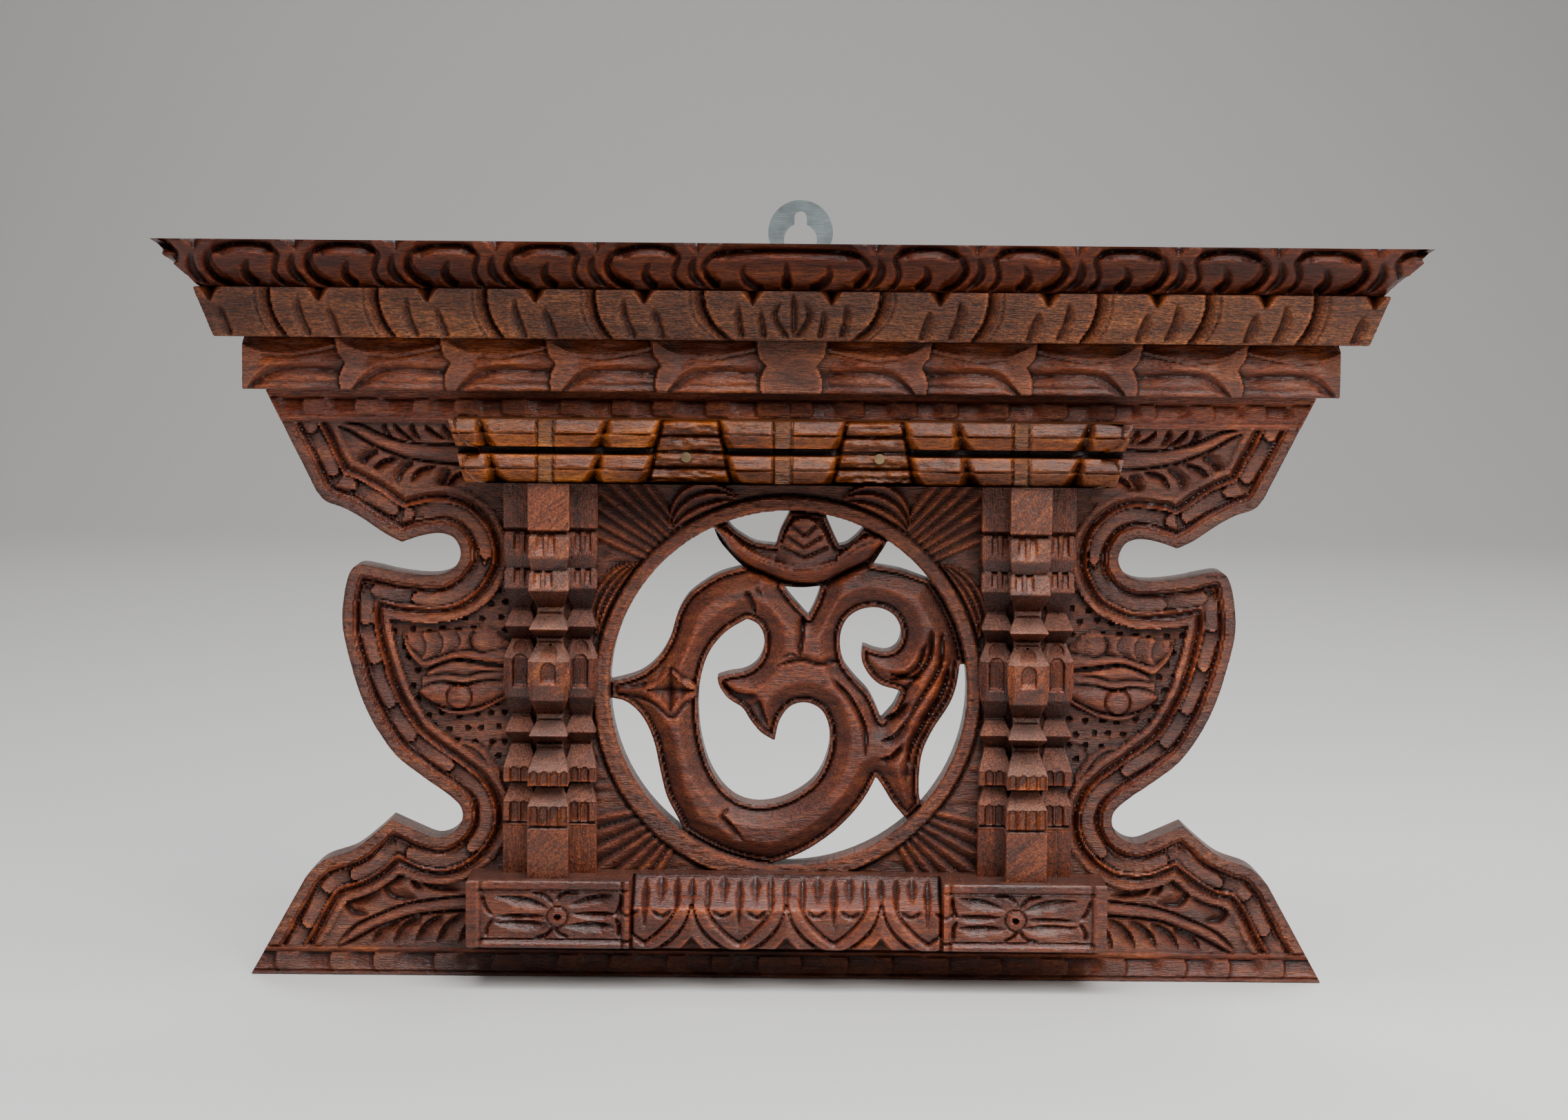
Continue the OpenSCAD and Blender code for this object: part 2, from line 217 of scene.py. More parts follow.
class Relief:
    """Heights in millimetres over a grid of x and z; 0 is the uncut face."""

    def __init__(self, xs, zs):
        self.xs, self.zs = xs, zs
        self.x, self.z = np.meshgrid(xs, zs)
        self.h = np.zeros(self.x.shape)
        self.raw_and_sheen = np.zeros(self.x.shape)       # 1 where the wood is left rough and matt

    def put(self, where, h=None, raw_and_sheen=None):
        """Set the heights, or how raw the wood is, where the mask is true."""
        if h is not None:
            self.h = np.where(where, h, self.h)
        if raw_and_sheen is not None:
            self.raw_and_sheen = np.where(where, raw_and_sheen, self.raw_and_sheen)

    def noise(self, wide, high, seed):
        """Smooth noise over the grid, with lumps of this width and height."""
        return value_noise(self.x / wide, self.z / high, seed)

    def window(self, pts, pad):
        """Slices of the grid around some points."""
        lo, hi = pts.min(0) - pad, pts.max(0) + pad
        i = slice(*np.searchsorted(self.zs, [lo[1], hi[1]]))
        j = slice(*np.searchsorted(self.xs, [lo[0], hi[0]]))
        return i, j

    def both(self, pts, mirror):
        """The points, and then their mirror image."""
        pts = np.array(pts, float)
        yield pts
        if mirror:
            yield pts * [-1, 1]

    def cut(self, pts, half, depth, mirror=True, ends=(0.35, 0.35), shape=vee):
        """A gouge stroke along a curve, narrowing towards its ends."""
        for side, p in zip((1, -1), self.both(pts, mirror)):
            p = p + rng.normal(0, 0.12, p.shape)
            line = smooth(p) if len(p) > 2 else p
            i, j = self.window(line, half + 1)
            x, z = self.x[i, j], self.z[i, j]
            if x.size == 0:
                continue
            d, s = to_chain(x, z, line)
            t = s / max(np.hypot(*np.diff(line, axis=0).T).sum(), 1e-6)
            w = np.minimum(unit(t / max(ends[0], 1e-6)),
                           unit((1 - t) / max(ends[1], 1e-6))) ** 0.6
            w = np.maximum(w, 0.02)
            self.h[i, j] -= depth * w * shape(side * d / (half * w))

    def scoop(self, pts, wide, depth, mirror=True, ends=(0.3, 0.3)):
        """A leaf cut: a steep wall on the curve, and a long slope up to its right."""
        self.cut(pts, wide, depth, mirror, ends, shape=one_sided)

    def band(self, low, up, fill, mirror=True):
        """Set heights between two curves of x: fill(u, t, h) with u from -1 to 1 across."""
        for k, (a, b) in enumerate(zip(self.both(low, mirror), self.both(up, mirror))):
            a, b = smooth(a), smooth(b)
            a, b = a[np.argsort(a[:, 0])], b[np.argsort(b[:, 0])]
            pts = np.vstack([a, b])
            i, j = self.window(pts, 0.5)
            x, z = self.x[i, j], self.z[i, j]
            x0, x1 = max(a[0, 0], b[0, 0]), min(a[-1, 0], b[-1, 0])
            za, zb = np.interp(x, a[:, 0], a[:, 1]), np.interp(x, b[:, 0], b[:, 1])
            ok = (x >= x0) & (x <= x1) & (z > za) & (z < zb)
            u = (z - za) / np.maximum(zb - za, 1e-6) * 2 - 1
            t = (x - x0) / (x1 - x0)
            t = t if k == 0 else 1 - t
            h = self.h[i, j]
            self.h[i, j] = np.where(ok, fill(u, t, h), h)

    def spot(self, centre, radius, fill, mirror=True):
        """Set heights within a circle: fill(r, h) with r from 0 to 1."""
        for c in self.both([centre], mirror):
            i, j = self.window(c, radius)
            r = np.hypot(self.x[i, j] - c[0, 0], self.z[i, j] - c[0, 1]) / radius
            h = self.h[i, j]
            self.h[i, j] = np.where(r < 1, fill(r, h), h)


def rounded(deep, fall):
    """A fill for a band: this deep in the middle, and falling away to its edges."""
    return lambda u, t, h: -deep - fall * u * u


def blur(h, n):
    """Box blur, n points each way."""
    k = np.ones(2 * n + 1) / (2 * n + 1)
    for axis in (0, 1):
        h = np.apply_along_axis(lambda r: np.convolve(np.pad(r, n, mode="edge"), k, "valid"), axis, h)
    return h


def wear_and_shading_of(h):
    """0.5 on level wood, 0 deep in cuts, which darkens them as painted shade, 1 on worn edges."""
    local = h - blur(h, 3)
    wide = h - blur(h, 9)
    return unit(0.5 + local * 0.36 + wide * 0.06)


def along_bead(s, starts):
    """For arc lengths s: distance from the bead's start, its share, and distance to its end."""
    k = np.clip(np.searchsorted(starts, s) - 1, 0, len(starts) - 2)
    return s - starts[k], (s - starts[k]) / (starts[k + 1] - starts[k]), starts[k + 1] - s


def bead_row(arc, across, starts):
    """Overlapping beads along a band: heights from arc length and across (-1 to 1)."""
    u = np.clip(across, -1, 1)
    _, t, left = along_bead(arc - 2.6 * (1 - np.sqrt(unit(1 - u * u))), starts)
    return -0.2 - 0.7 * u ** 4 - 2.1 * step(t, 0.25, 0.95) - 0.9 * vee(left, 0.7)


def cup_row(r, low, high, seed, pitch):
    """Scooped cups along a straight band, deepest at the top of the wall nearest the middle."""
    starts = bead_starts(260, pitch, seed)
    up = unit((r.z - low) / (high - low))
    h = np.zeros(r.z.shape)
    for side in (-1, 1):
        arc = side * r.x + (5.0 if side > 0 else 0.0)
        gone, t, _ = along_bead(arc - 1.7 * np.sqrt(unit(1 - (2 * up - 1) ** 2)), starts)
        deep = step(gone, 0.0, 0.9) * (1 - step(t, 0.38, 0.72))
        one = -0.25 - deep * (0.4 + 2.2 * up ** 0.9) - 0.35 * vee(gone, 0.7)
        h = np.where(side * r.x >= 0, one, h)
    return h


def bead_starts(length, pitch, seed):
    """Uneven hand-set starts of beads."""
    gen = np.random.default_rng(seed)
    steps = gen.uniform(0.8, 1.2, int(length / pitch) + 6) * pitch
    return np.concatenate([[-pitch], -pitch / 2 + np.cumsum(steps)])


# ---------------------------------------------------------------- carving of the two boards

# distances in from the outline, where each part of the side band ends
RIM, BAND_IN, BAND_OUT, HOLLOW, FILLET = 4.1, 7.0, 12.4, 16.2, 19.3
BASE_CUPS, BASE_LINE = (1.4, 9.0), 11.4
TOP_CUPS, TOP_LINE = (226.5, 232.8), 223.4
# heights where the lower wing ends, the lobe starts and ends, and the upper wing starts
LOWER_WING, LOBE_LOW, LOBE_HIGH, UPPER_WING = 52, 68, 160, 185
# distances from the middle: the corner fans end, the strips behind the columns, the wings start
FANS_OUT, PADS_IN, PADS_OUT, WINGS_IN = 79, 78.5, 110.5, 111
RING_WIDE = 5.9
DEEPEST, HIGHEST = -8.5, 0.12                # limits of the boards' relief
# leaves that hug the ring, by angles about its centre: from, to, reach outwards, ridges
RING_LEAVES = ((203, 216, 7.0, 2), (232, 250, 8.0, 2), (15, 40, 9.0, 3), (53, 75, 14.0, 3))


def carve_side_band(r, d, arc, starts):
    """Hatched rim, bead band, hollow and inner fillet that follow the outline."""
    z = r.z
    zone = (z > BASE_LINE) & (z < TOP_LINE) & (d < FILLET)
    middle, half = (BAND_IN + BAND_OUT) / 2, (BAND_OUT - BAND_IN) / 2
    sawn = 0.30 * value_noise(r.x / 2.4, z / 0.8, 17) + 0.2 * value_noise(r.x / 1.2, z / 0.8, 18)
    rim = -0.3 - 0.9 * unit((1.1 - d) / 1.1) ** 2 + 0.25 * vee(d - RIM + 0.5, 0.6) + sawn
    groove = -0.4 - 2.5 * vee(d - (RIM + BAND_IN) / 2 - 0.3, (BAND_IN - RIM) / 2 + 0.4)
    groove += 1.0 * vee(d - RIM - 0.9, 0.7)
    beads = bead_row(arc, (d - middle) / half, starts) - 0.3
    ridge = -0.35 - 0.6 * np.abs(d - BAND_OUT - 0.5)
    hollow = -0.5 - 2.6 * vee(d - (BAND_OUT + HOLLOW) / 2 - 0.4, (HOLLOW - BAND_OUT) / 2 - 0.2)
    inner = (HOLLOW + FILLET) / 2
    fillet = -0.55 - 0.8 * unit(np.abs(d - inner) / (FILLET - inner)) ** 3 + 0.8 * sawn
    h = np.select([d < RIM, d < BAND_IN, d < BAND_OUT, d < BAND_OUT + 1.0, d < HOLLOW],
                  [rim, groove, beads, ridge, hollow], fillet)
    h -= 0.8 * vee(d - BAND_OUT, 0.6) + 0.7 * vee(d - HOLLOW, 0.6)
    raw_and_sheen = np.select([d < RIM, d < BAND_IN, d < BAND_OUT, d < HOLLOW], [1.0, 0.0, 0.8, 0.0], 0.95)
    r.put(zone, h, raw_and_sheen)


def carve_edges(r, d):
    """Straight bands of scooped cups along the top and the base, between plain strips."""
    z = r.z
    low, high = TOP_CUPS
    cups = cup_row(r, low, high, 21, 19.5)
    h = np.where((z > low) & (z < high), cups, np.where(z > high, -0.1, -0.5))
    h -= 1.3 * vee(z - high, 0.6) + 0.8 * vee(z - low + 0.2, 0.6) + 1.0 * vee(z - TOP_LINE, 0.7)
    r.put((z > TOP_LINE - 0.3) & (d > 1.0), h)
    r.put(z > TOP_LINE, raw_and_sheen=unit(1.2 + h))
    low, high = BASE_CUPS
    cups = cup_row(r, low, high, 22, 21.5)
    h = np.where((z > low) & (z < high), cups, np.where(z > high, -0.35, -0.45))
    h -= 0.6 * vee(z - low, 0.6) + 0.9 * vee(z - high - 0.3, 0.7) + 1.1 * vee(z - BASE_LINE, 0.6)
    r.put(z < BASE_LINE + 0.3, h)
    r.put(z < BASE_LINE, raw_and_sheen=unit(1.2 + h))


def carve_lobe(r, ground):
    """Punched ground, eye and brow of a side lobe."""
    r.put(ground, -3.9 + 0.35 * r.noise(3.1, 1.3, 5))
    for side in (-1, 1):
        gen = np.random.default_rng(31 + side)
        for row, z in enumerate(np.arange(78, 158, 5.6)):
            for x in np.arange(110 + 3.3 * (row % 2), 168, 6.4):
                c = np.array([side * (x + gen.uniform(-0.9, 0.9)), z + gen.uniform(-0.9, 0.9)])
                deep = 1.5 + gen.uniform(0, 0.7)
                i, j = r.window(c[None], 2)
                rad = np.hypot(r.x[i, j] - c[0], r.z[i, j] - c[1])
                r.h[i, j] -= (deep * (rad < 1.05) + 0.5 * vee(rad, 1.9)) * ground[i, j]
    # brow: a ribbed wing above a rounded rim, ending in a curled ball
    brow_low = [(-155, 137.5), (-152.7, 130.9), (-146.7, 124.6), (-140.6, 126.6),
                (-132.6, 128.8), (-124.5, 127.8), (-110, 126.0)]
    rim_top = [(-155, 137.8), (-151.5, 132.3), (-147.2, 128.0), (-143.3, 128.2),
               (-133.9, 131.2), (-124.5, 131.7), (-110, 132.4)]
    brow_top = [(-155, 138.4), (-148.6, 138.6), (-139.2, 139.8), (-131.2, 140.2),
                (-124.0, 140.8), (-117.5, 139.6), (-110, 133.0)]
    rib = 6.9

    def ribs(u, t, h):
        s = t * 45.0 / rib - 0.35 * (1 - u * u)
        f = s - np.floor(s)
        return -1.0 - 1.5 * step(f, 0.1, 0.95) - 0.5 * u * u - 0.5 * vee(f, 0.12)
    r.band(rim_top, brow_top, ribs)
    r.band(brow_low, rim_top, rounded(0.5, 1.2))
    r.cut(rim_top, 0.8, 1.2)
    r.spot((-122.3, 135.6), 6.2,
           lambda q, h: np.maximum(h, -0.2 - 2.0 * q * q - 1.2 * vee(q - 0.9, 0.12)))
    r.cut([(-118.5, 132.2), (-123.5, 131.2), (-127.6, 134.0), (-127.2, 138.2), (-123.2, 139.6)],
          0.9, 1.6)
    # lids: two soft folds over the eye
    fold_top = [(-145.4, 122.8), (-140.6, 125.6), (-133.9, 127.5), (-127.2, 126.6),
                (-121.5, 125.4), (-113, 124.8)]
    fold_mid = [(-147, 121.0), (-137.9, 122.4), (-129.9, 121.6), (-123.2, 123.4), (-113, 124.0)]
    eye_top = [(-148.4, 115.6), (-143.3, 118.4), (-137.3, 119.0), (-131.3, 117.8),
               (-123.2, 119.5), (-113, 120.2)]
    eye_low = [(-148.4, 115.4), (-143.4, 110.8), (-136.7, 108.2), (-128.6, 108.2),
               (-121.9, 110.2), (-113, 114.8)]
    lid_low = [(-148.4, 114.6), (-139.5, 107.4), (-132.6, 105.6), (-123.9, 107.0),
               (-113, 112.6)]
    r.band(fold_mid, fold_top, rounded(1.1, 1.3))
    r.band(eye_top, fold_mid, rounded(1.5, 1.0))
    r.cut(fold_mid, 0.8, 1.1)
    r.band(lid_low, eye_low, rounded(1.6, 0.9))
    r.band(eye_low, eye_top, lambda u, t, h: -3.1 + 2.7 * np.sqrt(unit(1 - u * u)))
    r.cut(eye_top, 0.8, 1.6)
    r.cut(eye_low, 0.8, 1.3)
    r.spot((-132.2, 113.0), 5.6,
           lambda q, h: np.where(q < 0.86, -0.3 - 0.5 * q * q, h) - 1.3 * vee(q - 0.9, 0.14))
    # leaf that rises from the lower notch
    r.band([(-140, 92), (-130, 88), (-122, 80), (-116, 76)],
           [(-140, 93), (-131, 95.4), (-122.5, 92), (-116, 84)],
           rounded(1.4, 1.4))
    r.cut([(-138, 93.4), (-128, 92.4), (-121.5, 86), (-118, 78)], 1.1, 1.6)
    r.cut([(-121, 90), (-118.6, 94.6), (-114, 95.4)], 1.0, 1.3)
    eye = np.hypot((np.abs(r.x) - 130) / 18, (r.z - 113.5) / 5.5) < 1
    r.put(ground, raw_and_sheen=np.where(eye, 0.2, 0.85))


def weather(r, ground, base):
    """Leave the ground raw where it was not cut deeper than its base."""
    r.put(ground, raw_and_sheen=unit(1.0 + 0.7 * (r.h - base)))


def carve_upper_wing(r, ground):
    """Scrolling stem with leaf cuts between the wing's fillet and the lintel."""
    base = -1.3 - 0.7 * step(r.z, 196, 212) + 0.3 * r.noise(6, 2, 8)
    r.put(ground, base)
    stem_low = [(-182, 222), (-175.8, 219.6), (-167.8, 214.8), (-158.5, 211.0),
                (-150.6, 208.6), (-137, 206.9), (-124, 206.5)]
    stem_up = [(-182, 223), (-173.1, 222.2), (-163.8, 218.2), (-155.2, 215.4),
               (-143.9, 214.2), (-134, 214.6), (-124, 214.8)]
    r.band(stem_low, stem_up, rounded(0.4, 1.3))
    r.cut(stem_low, 1.0, 1.8, ends=(0.1, 0.05))
    r.cut(stem_up, 1.0, 1.9, ends=(0.1, 0.05))
    # leaves: a smooth hollow before each one, and a deep lens under it
    for points in ([(-164.4, 211.6), (-169.0, 209.0), (-170.9, 205.2)],
                   [(-150.6, 207.4), (-155.2, 203.3), (-156.6, 198.5)],
                   [(-135.8, 204.6), (-137.6, 200.8), (-139.0, 196.7)]):
        r.scoop(points, 5.2, 2.8, ends=(0.15, 0.3))
    for points in ([(-167.6, 202.8), (-163.4, 207.4), (-155.8, 209.4)],
                   [(-152.0, 198.8), (-148.2, 204.0), (-140.8, 206.2)],
                   [(-137.4, 197.0), (-133.4, 202.2), (-125.6, 204.6)]):
        r.scoop(points, 3.6, 3.0, ends=(0.3, 0.3))
    for points, wide, depth in (([(-162.4, 223.0), (-160.9, 219.0), (-158.6, 216.2)], 3.0, 2.2),
                                ([(-158.4, 222.8), (-155.2, 219.2), (-149.8, 215.2)], 2.2, 2.8),
                                ([(-151.0, 222.8), (-149.8, 219.0), (-147.4, 216.0)], 3.0, 2.4),
                                ([(-145.9, 222.4), (-142.6, 219.0), (-137.6, 216.4)], 2.2, 2.8),
                                ([(-138.6, 222.6), (-136.4, 219.4), (-132.6, 216.8)], 3.0, 2.2)):
        r.scoop(points, wide, depth, ends=(0.2, 0.3))
    weather(r, ground, base)
    # long hollow inside the slanted part of the band
    r.cut([(-197.6, 221.0), (-189.0, 207.5), (-184.2, 203.4)], 2.2, 1.5, shape=bump)


def carve_lower_wing(r, ground):
    """Fern frond that sweeps up from the base towards the sill, with lobes over it and blades under."""
    base = -1.6 - 0.5 * r.noise(9, 6, 9)
    r.put(ground, base)
    frond_low = [(-181, 11.0), (-175.5, 13.4), (-166.4, 18.4), (-157.4, 22.0),
                 (-148.4, 24.6), (-129.7, 26.2), (-120, 26.6)]
    frond_up = [(-182, 11.6), (-176.5, 17.2), (-172.0, 20.6), (-162.2, 25.2),
                (-150.5, 29.2), (-129.7, 31.8), (-120, 32.2)]
    r.band(frond_low, frond_up, rounded(0.4, 1.2))
    r.cut(frond_low, 1.0, 1.9, ends=(0.1, 0.05))
    r.cut(frond_up, 1.0, 1.9, ends=(0.1, 0.05))
    # rounded lobes, each with a scooped heart
    for points, wide, depth in (
            ([(-168.6, 24.0), (-174.8, 24.6), (-177.2, 28.8), (-170.2, 32.4), (-161.7, 36.0)], 6.0, 2.8),
            ([(-149.0, 31.4), (-156.8, 30.6), (-161.2, 33.4), (-161.0, 37.4), (-152.6, 42.4)], 6.0, 2.8),
            ([(-146.4, 34.2), (-150.0, 36.0), (-150.8, 40.2), (-145.8, 41.8)], 3.6, 2.4),
            ([(-130.0, 33.8), (-142.6, 35.0), (-146.0, 38.6), (-144.8, 43.0), (-136.0, 43.8)], 4.4, 2.6),
            ([(-126.0, 39.2), (-134.0, 39.0), (-140.6, 39.6)], 2.6, 2.0)):
        r.scoop(points, wide, depth, ends=(0.2, 0.25))
    # blades under the frond
    for x in np.arange(-166.0, -124, 8.8):
        top = curve_at(x + 10.0, frond_low) - 0.9
        r.scoop([(x - 1.5, 12.4), (x + 2.4, 12.4 + (top - 12.4) * 0.6), (x + 10.0, top)],
                5.0, 2.7, ends=(0.3, 0.2))
    weather(r, ground, base)


LOWER_FAN = ((-33.5, 73.8), 190, 7.6, 7)     # centre, first direction, pitch, ribs
UPPER_FAN = ((-20.0, 152.4), 157, -4.4, 7)


def corner_fan(r, zone, fan):
    """Straight feathers that spread from a point near the ring into a corner."""
    (cx, cz), first, pitch, count = fan
    for side in (-1, 1):
        dx, dz = -side * r.x - cx, r.z - cz
        turn = np.degrees(np.arctan2(dz, dx)) % 360
        f = (turn - first) / pitch
        inside = zone & (side * r.x > 0) & (f > 0) & (f < count) & (np.hypot(dx, dz) > 12)
        frac = f - np.floor(f)
        rib = -0.5 - 2.2 * np.where(frac < 0.3, 1 - frac / 0.3, ((frac - 0.3) / 0.7) ** 1.6)
        r.put(inside, rib)


def hugging_leaf(r, zone, ring_out, radius, a0, a1, reach, ridges):
    """A leaf that lies along the ring from angle a0 to a1, ribbed along its length."""
    for side in (-1, 1):
        turn = np.degrees(np.arctan2(r.z - RING_Z, side * r.x)) % 360
        t = unit((turn - a0) / (a1 - a0))
        wide = reach * np.sin(np.pi * t) ** 0.7 + 0.01
        q = (radius - ring_out - 1.0) / wide
        inside = zone & (side * r.x > 0) & (t > 0) & (t < 1) & (q > 0) & (q < 1)
        frac = (q * ridges + 0.35 * t) % 1.0
        leaf = -0.35 - 2.5 * np.where(frac < 0.65, (1 - frac / 0.65) ** 1.5, (frac - 0.65) / 0.35)
        r.put(inside, leaf)


def carve_window(r, radius, d_void):
    """Ring, corner leaves and the domed fretwork inside the ring."""
    x, z = r.x, r.z
    turn = np.arctan2(z - RING_Z, x)
    ring_out = RING_R + RING_WIDE + 2.4 * unit(np.cos(turn + 2.2)) ** 2
    frame_zone = (np.abs(x) < FANS_OUT) & (z > SILL_HIGH[2] - 3) & (z < LINTEL_LOW[2] + 3)
    spandrel = frame_zone & (radius > ring_out)
    r.put(spandrel, -2.9 + 0.5 * value_noise(x / 5, z / 2.2, 12))
    corner_fan(r, spandrel, LOWER_FAN)
    corner_fan(r, spandrel, UPPER_FAN)
    for a0, a1, reach, ridges in RING_LEAVES:
        hugging_leaf(r, spandrel, ring_out, radius, a0, a1, reach, ridges)
    ring_zone = (radius > RING_R - 0.6) & (radius <= ring_out) & frame_zone
    rough = 0.40 * value_noise(x / 3.2, z / 0.9, 15) + 0.30 * value_noise(x / 1.3, z / 0.8, 16)
    edge = np.minimum(radius - RING_R, ring_out - radius)
    ring_h = -0.3 + rough - 1.3 * unit((1.3 - edge) / 1.3) ** 1.5
    r.put(ring_zone, ring_h)
    r.raw_and_sheen = np.where(ring_zone, 1.0, np.where(spandrel, 0.5, r.raw_and_sheen))
    r.h -= 1.2 * vee(radius - ring_out - 0.5, 1.0) * frame_zone
    # fretwork: strokes like a roof, with a thin raised line along each edge
    fret = radius < RING_R - 0.2
    d = np.minimum(d_void, np.maximum(RING_R - 0.4 - radius, 0))
    roof = np.minimum(-4.3 + 0.66 * (d - 2.1), -0.1)
    line = -3.2 - 1.0 * unit((0.8 - d) / 0.8) ** 2
    r.put(fret, np.where(d < 1.7, line, roof), np.where(d < 1.7, 0.5, 0.15))
    r.h -= 0.7 * vee(d - 2.0, 0.7) * fret
    r.h -= 2.0 * vee(radius - RING_R + 0.5, 1.1) * (d_void > 1.0)


STAR, STAR_HALF = (-47.3, 116.4), (9.6, 8.6)
CRESCENT_LOW = [(-30.5, 182.0), (-25.2, 173.3), (-16.8, 165.9), (-4.2, 160.6), (5.3, 158.8),
                (14.7, 160.0), (26.3, 165.4), (33.0, 169.5), (37.6, 176.4)]
CRESCENT_UP = [(-30.5, 183.0), (-23.6, 179.6), (-15.8, 173.3), (-5.3, 169.1), (5.3, 167.2),
               (16.8, 169.8), (29.4, 178.5), (37.6, 178.0)]


def carve_fretwork_details(r):
    """Star notch, folds, leaf veins, crescent and the bell under the ring."""
    centre = np.array([STAR])
    i, j = r.window(centre, 10)
    u = np.abs(r.x[i, j] - STAR[0]) / STAR_HALF[0]
    w = np.abs(r.z[i, j] - STAR[1]) / STAR_HALF[1]
    star = unit(1 - u ** 0.72 - w ** 0.72)
    r.h[i, j] = np.where(u + w < 1.3, np.maximum(r.h[i, j], -1.2), r.h[i, j])
    r.h[i, j] -= 5.5 * star + 1.2 * (star > 0)
    for pts in ([(-70, 117.2), (-61, 117.8), (-54, 120.4), (-48.5, 126.0), (-42, 121.6), (-37, 119.6)],
                [(-70, 114.4), (-61, 113.6), (-54, 111.2), (-47, 105.4), (-41.6, 111.0), (-38, 113.4)]):
        r.cut(pts, 1.1, 1.8, mirror=False, ends=(0.3, 0.1))
    r.band(CRESCENT_LOW, CRESCENT_UP, lambda u, t, h: -0.3 - 3.4 * np.clip(0.45 - u, 0, 1.45) ** 1.2
           - 1.6 * unit(u - 0.45) - 0.9 * vee(u - 0.55, 0.12), mirror=False)
    r.cut(CRESCENT_LOW, 1.7, 3.6, mirror=False, ends=(0.05, 0.05))
    # laps: where one stroke passes in front of the next
    for pts, wide in (([(6.2, 146.8), (5.4, 138.0), (4.6, 129.8)], 3.4),
                      ([(21.2, 128.6), (12.0, 127.6), (4.8, 129.0), (-5.6, 126.4)], 3.0),
                      ([(-17.4, 157.0), (-14.4, 152.0), (-13.4, 147.4)], 3.2),
                      ([(-27.2, 66.6), (-23.2, 62.8), (-17.4, 55.8)], 3.4),
                      ([(-12.2, 113.2), (-10.4, 107.4), (-7.8, 101.0)], 3.2),
                      ([(-26.8, 119.6), (-20.6, 115.2), (-11.6, 114.4)], 3.2),
                      ([(17.0, 122.6), (25.4, 113.4), (31.4, 100.6), (31.2, 89.6)], 2.6)):
        r.scoop(pts, wide, 2.6, mirror=False, ends=(0.15, 0.25))
    for pts in ([(-14.0, 158.6), (-10.6, 154.8)], [(-27.0, 65.4), (-22.8, 69.2)],
                [(-4.6, 128.0), (0.4, 131.6), (4.6, 129.4)]):
        r.cut(pts, 1.0, 1.6, mirror=False)
    veins = [[(57.4, 142.6), (57.0, 130.5), (50.6, 121.0), (44.0, 113.8)],
             [(61.6, 141.4), (61.0, 127.0), (54.0, 114.4), (47.6, 104.6), (41.0, 97.6)],
             [(64.8, 129.0), (62.6, 117.4), (54.4, 103.4), (49.4, 92.0), (48.0, 79.4)],
             [(53.8, 122.4), (47.2, 121.8), (39.6, 124.2)],
             [(55.4, 137.0), (52.0, 127.0), (44.0, 121.4), (38.6, 122.0)]]
    for pts in veins:
        r.scoop(pts, 3.0, 3.4, mirror=False, ends=(0.15, 0.4))
    for pts in ([(38.4, 105.4), (43.6, 107.4), (48.6, 112.6)],
                [(37.2, 96.4), (43.0, 98.8), (48.6, 105.4)],
                [(36.6, 89.4), (41.6, 90.4), (46.4, 95.6)]):
        r.scoop(pts, 3.6, 3.6, mirror=False, ends=(0.2, 0.3))
    # bell: a rounded drop with chevrons
    bell = [(-5.8, 171.5), (-3.0, 177.0), (0.6, 183.8), (5.9, 186.4), (11.4, 183.8), (15.6, 177.0),
            (19.0, 171.5)]
    r.band([(-5.8, 169.0), (5.9, 167.0), (19.0, 169.8)], bell,
           lambda u, t, h: -1.4 - 2.2 * (2 * t - 1) ** 2, mirror=False)
    for drop in (0.0, 4.4, 8.6):
        half = 5.0 + 0.55 * drop
        r.cut([(5.9 - half, 183.4 - drop), (5.9, 179.0 - drop)], 1.0, 1.9, mirror=False, ends=(0.1, 0))
        r.cut([(5.9, 179.0 - drop), (5.9 + half, 183.4 - drop)], 1.0, 1.9, mirror=False, ends=(0, 0.1))


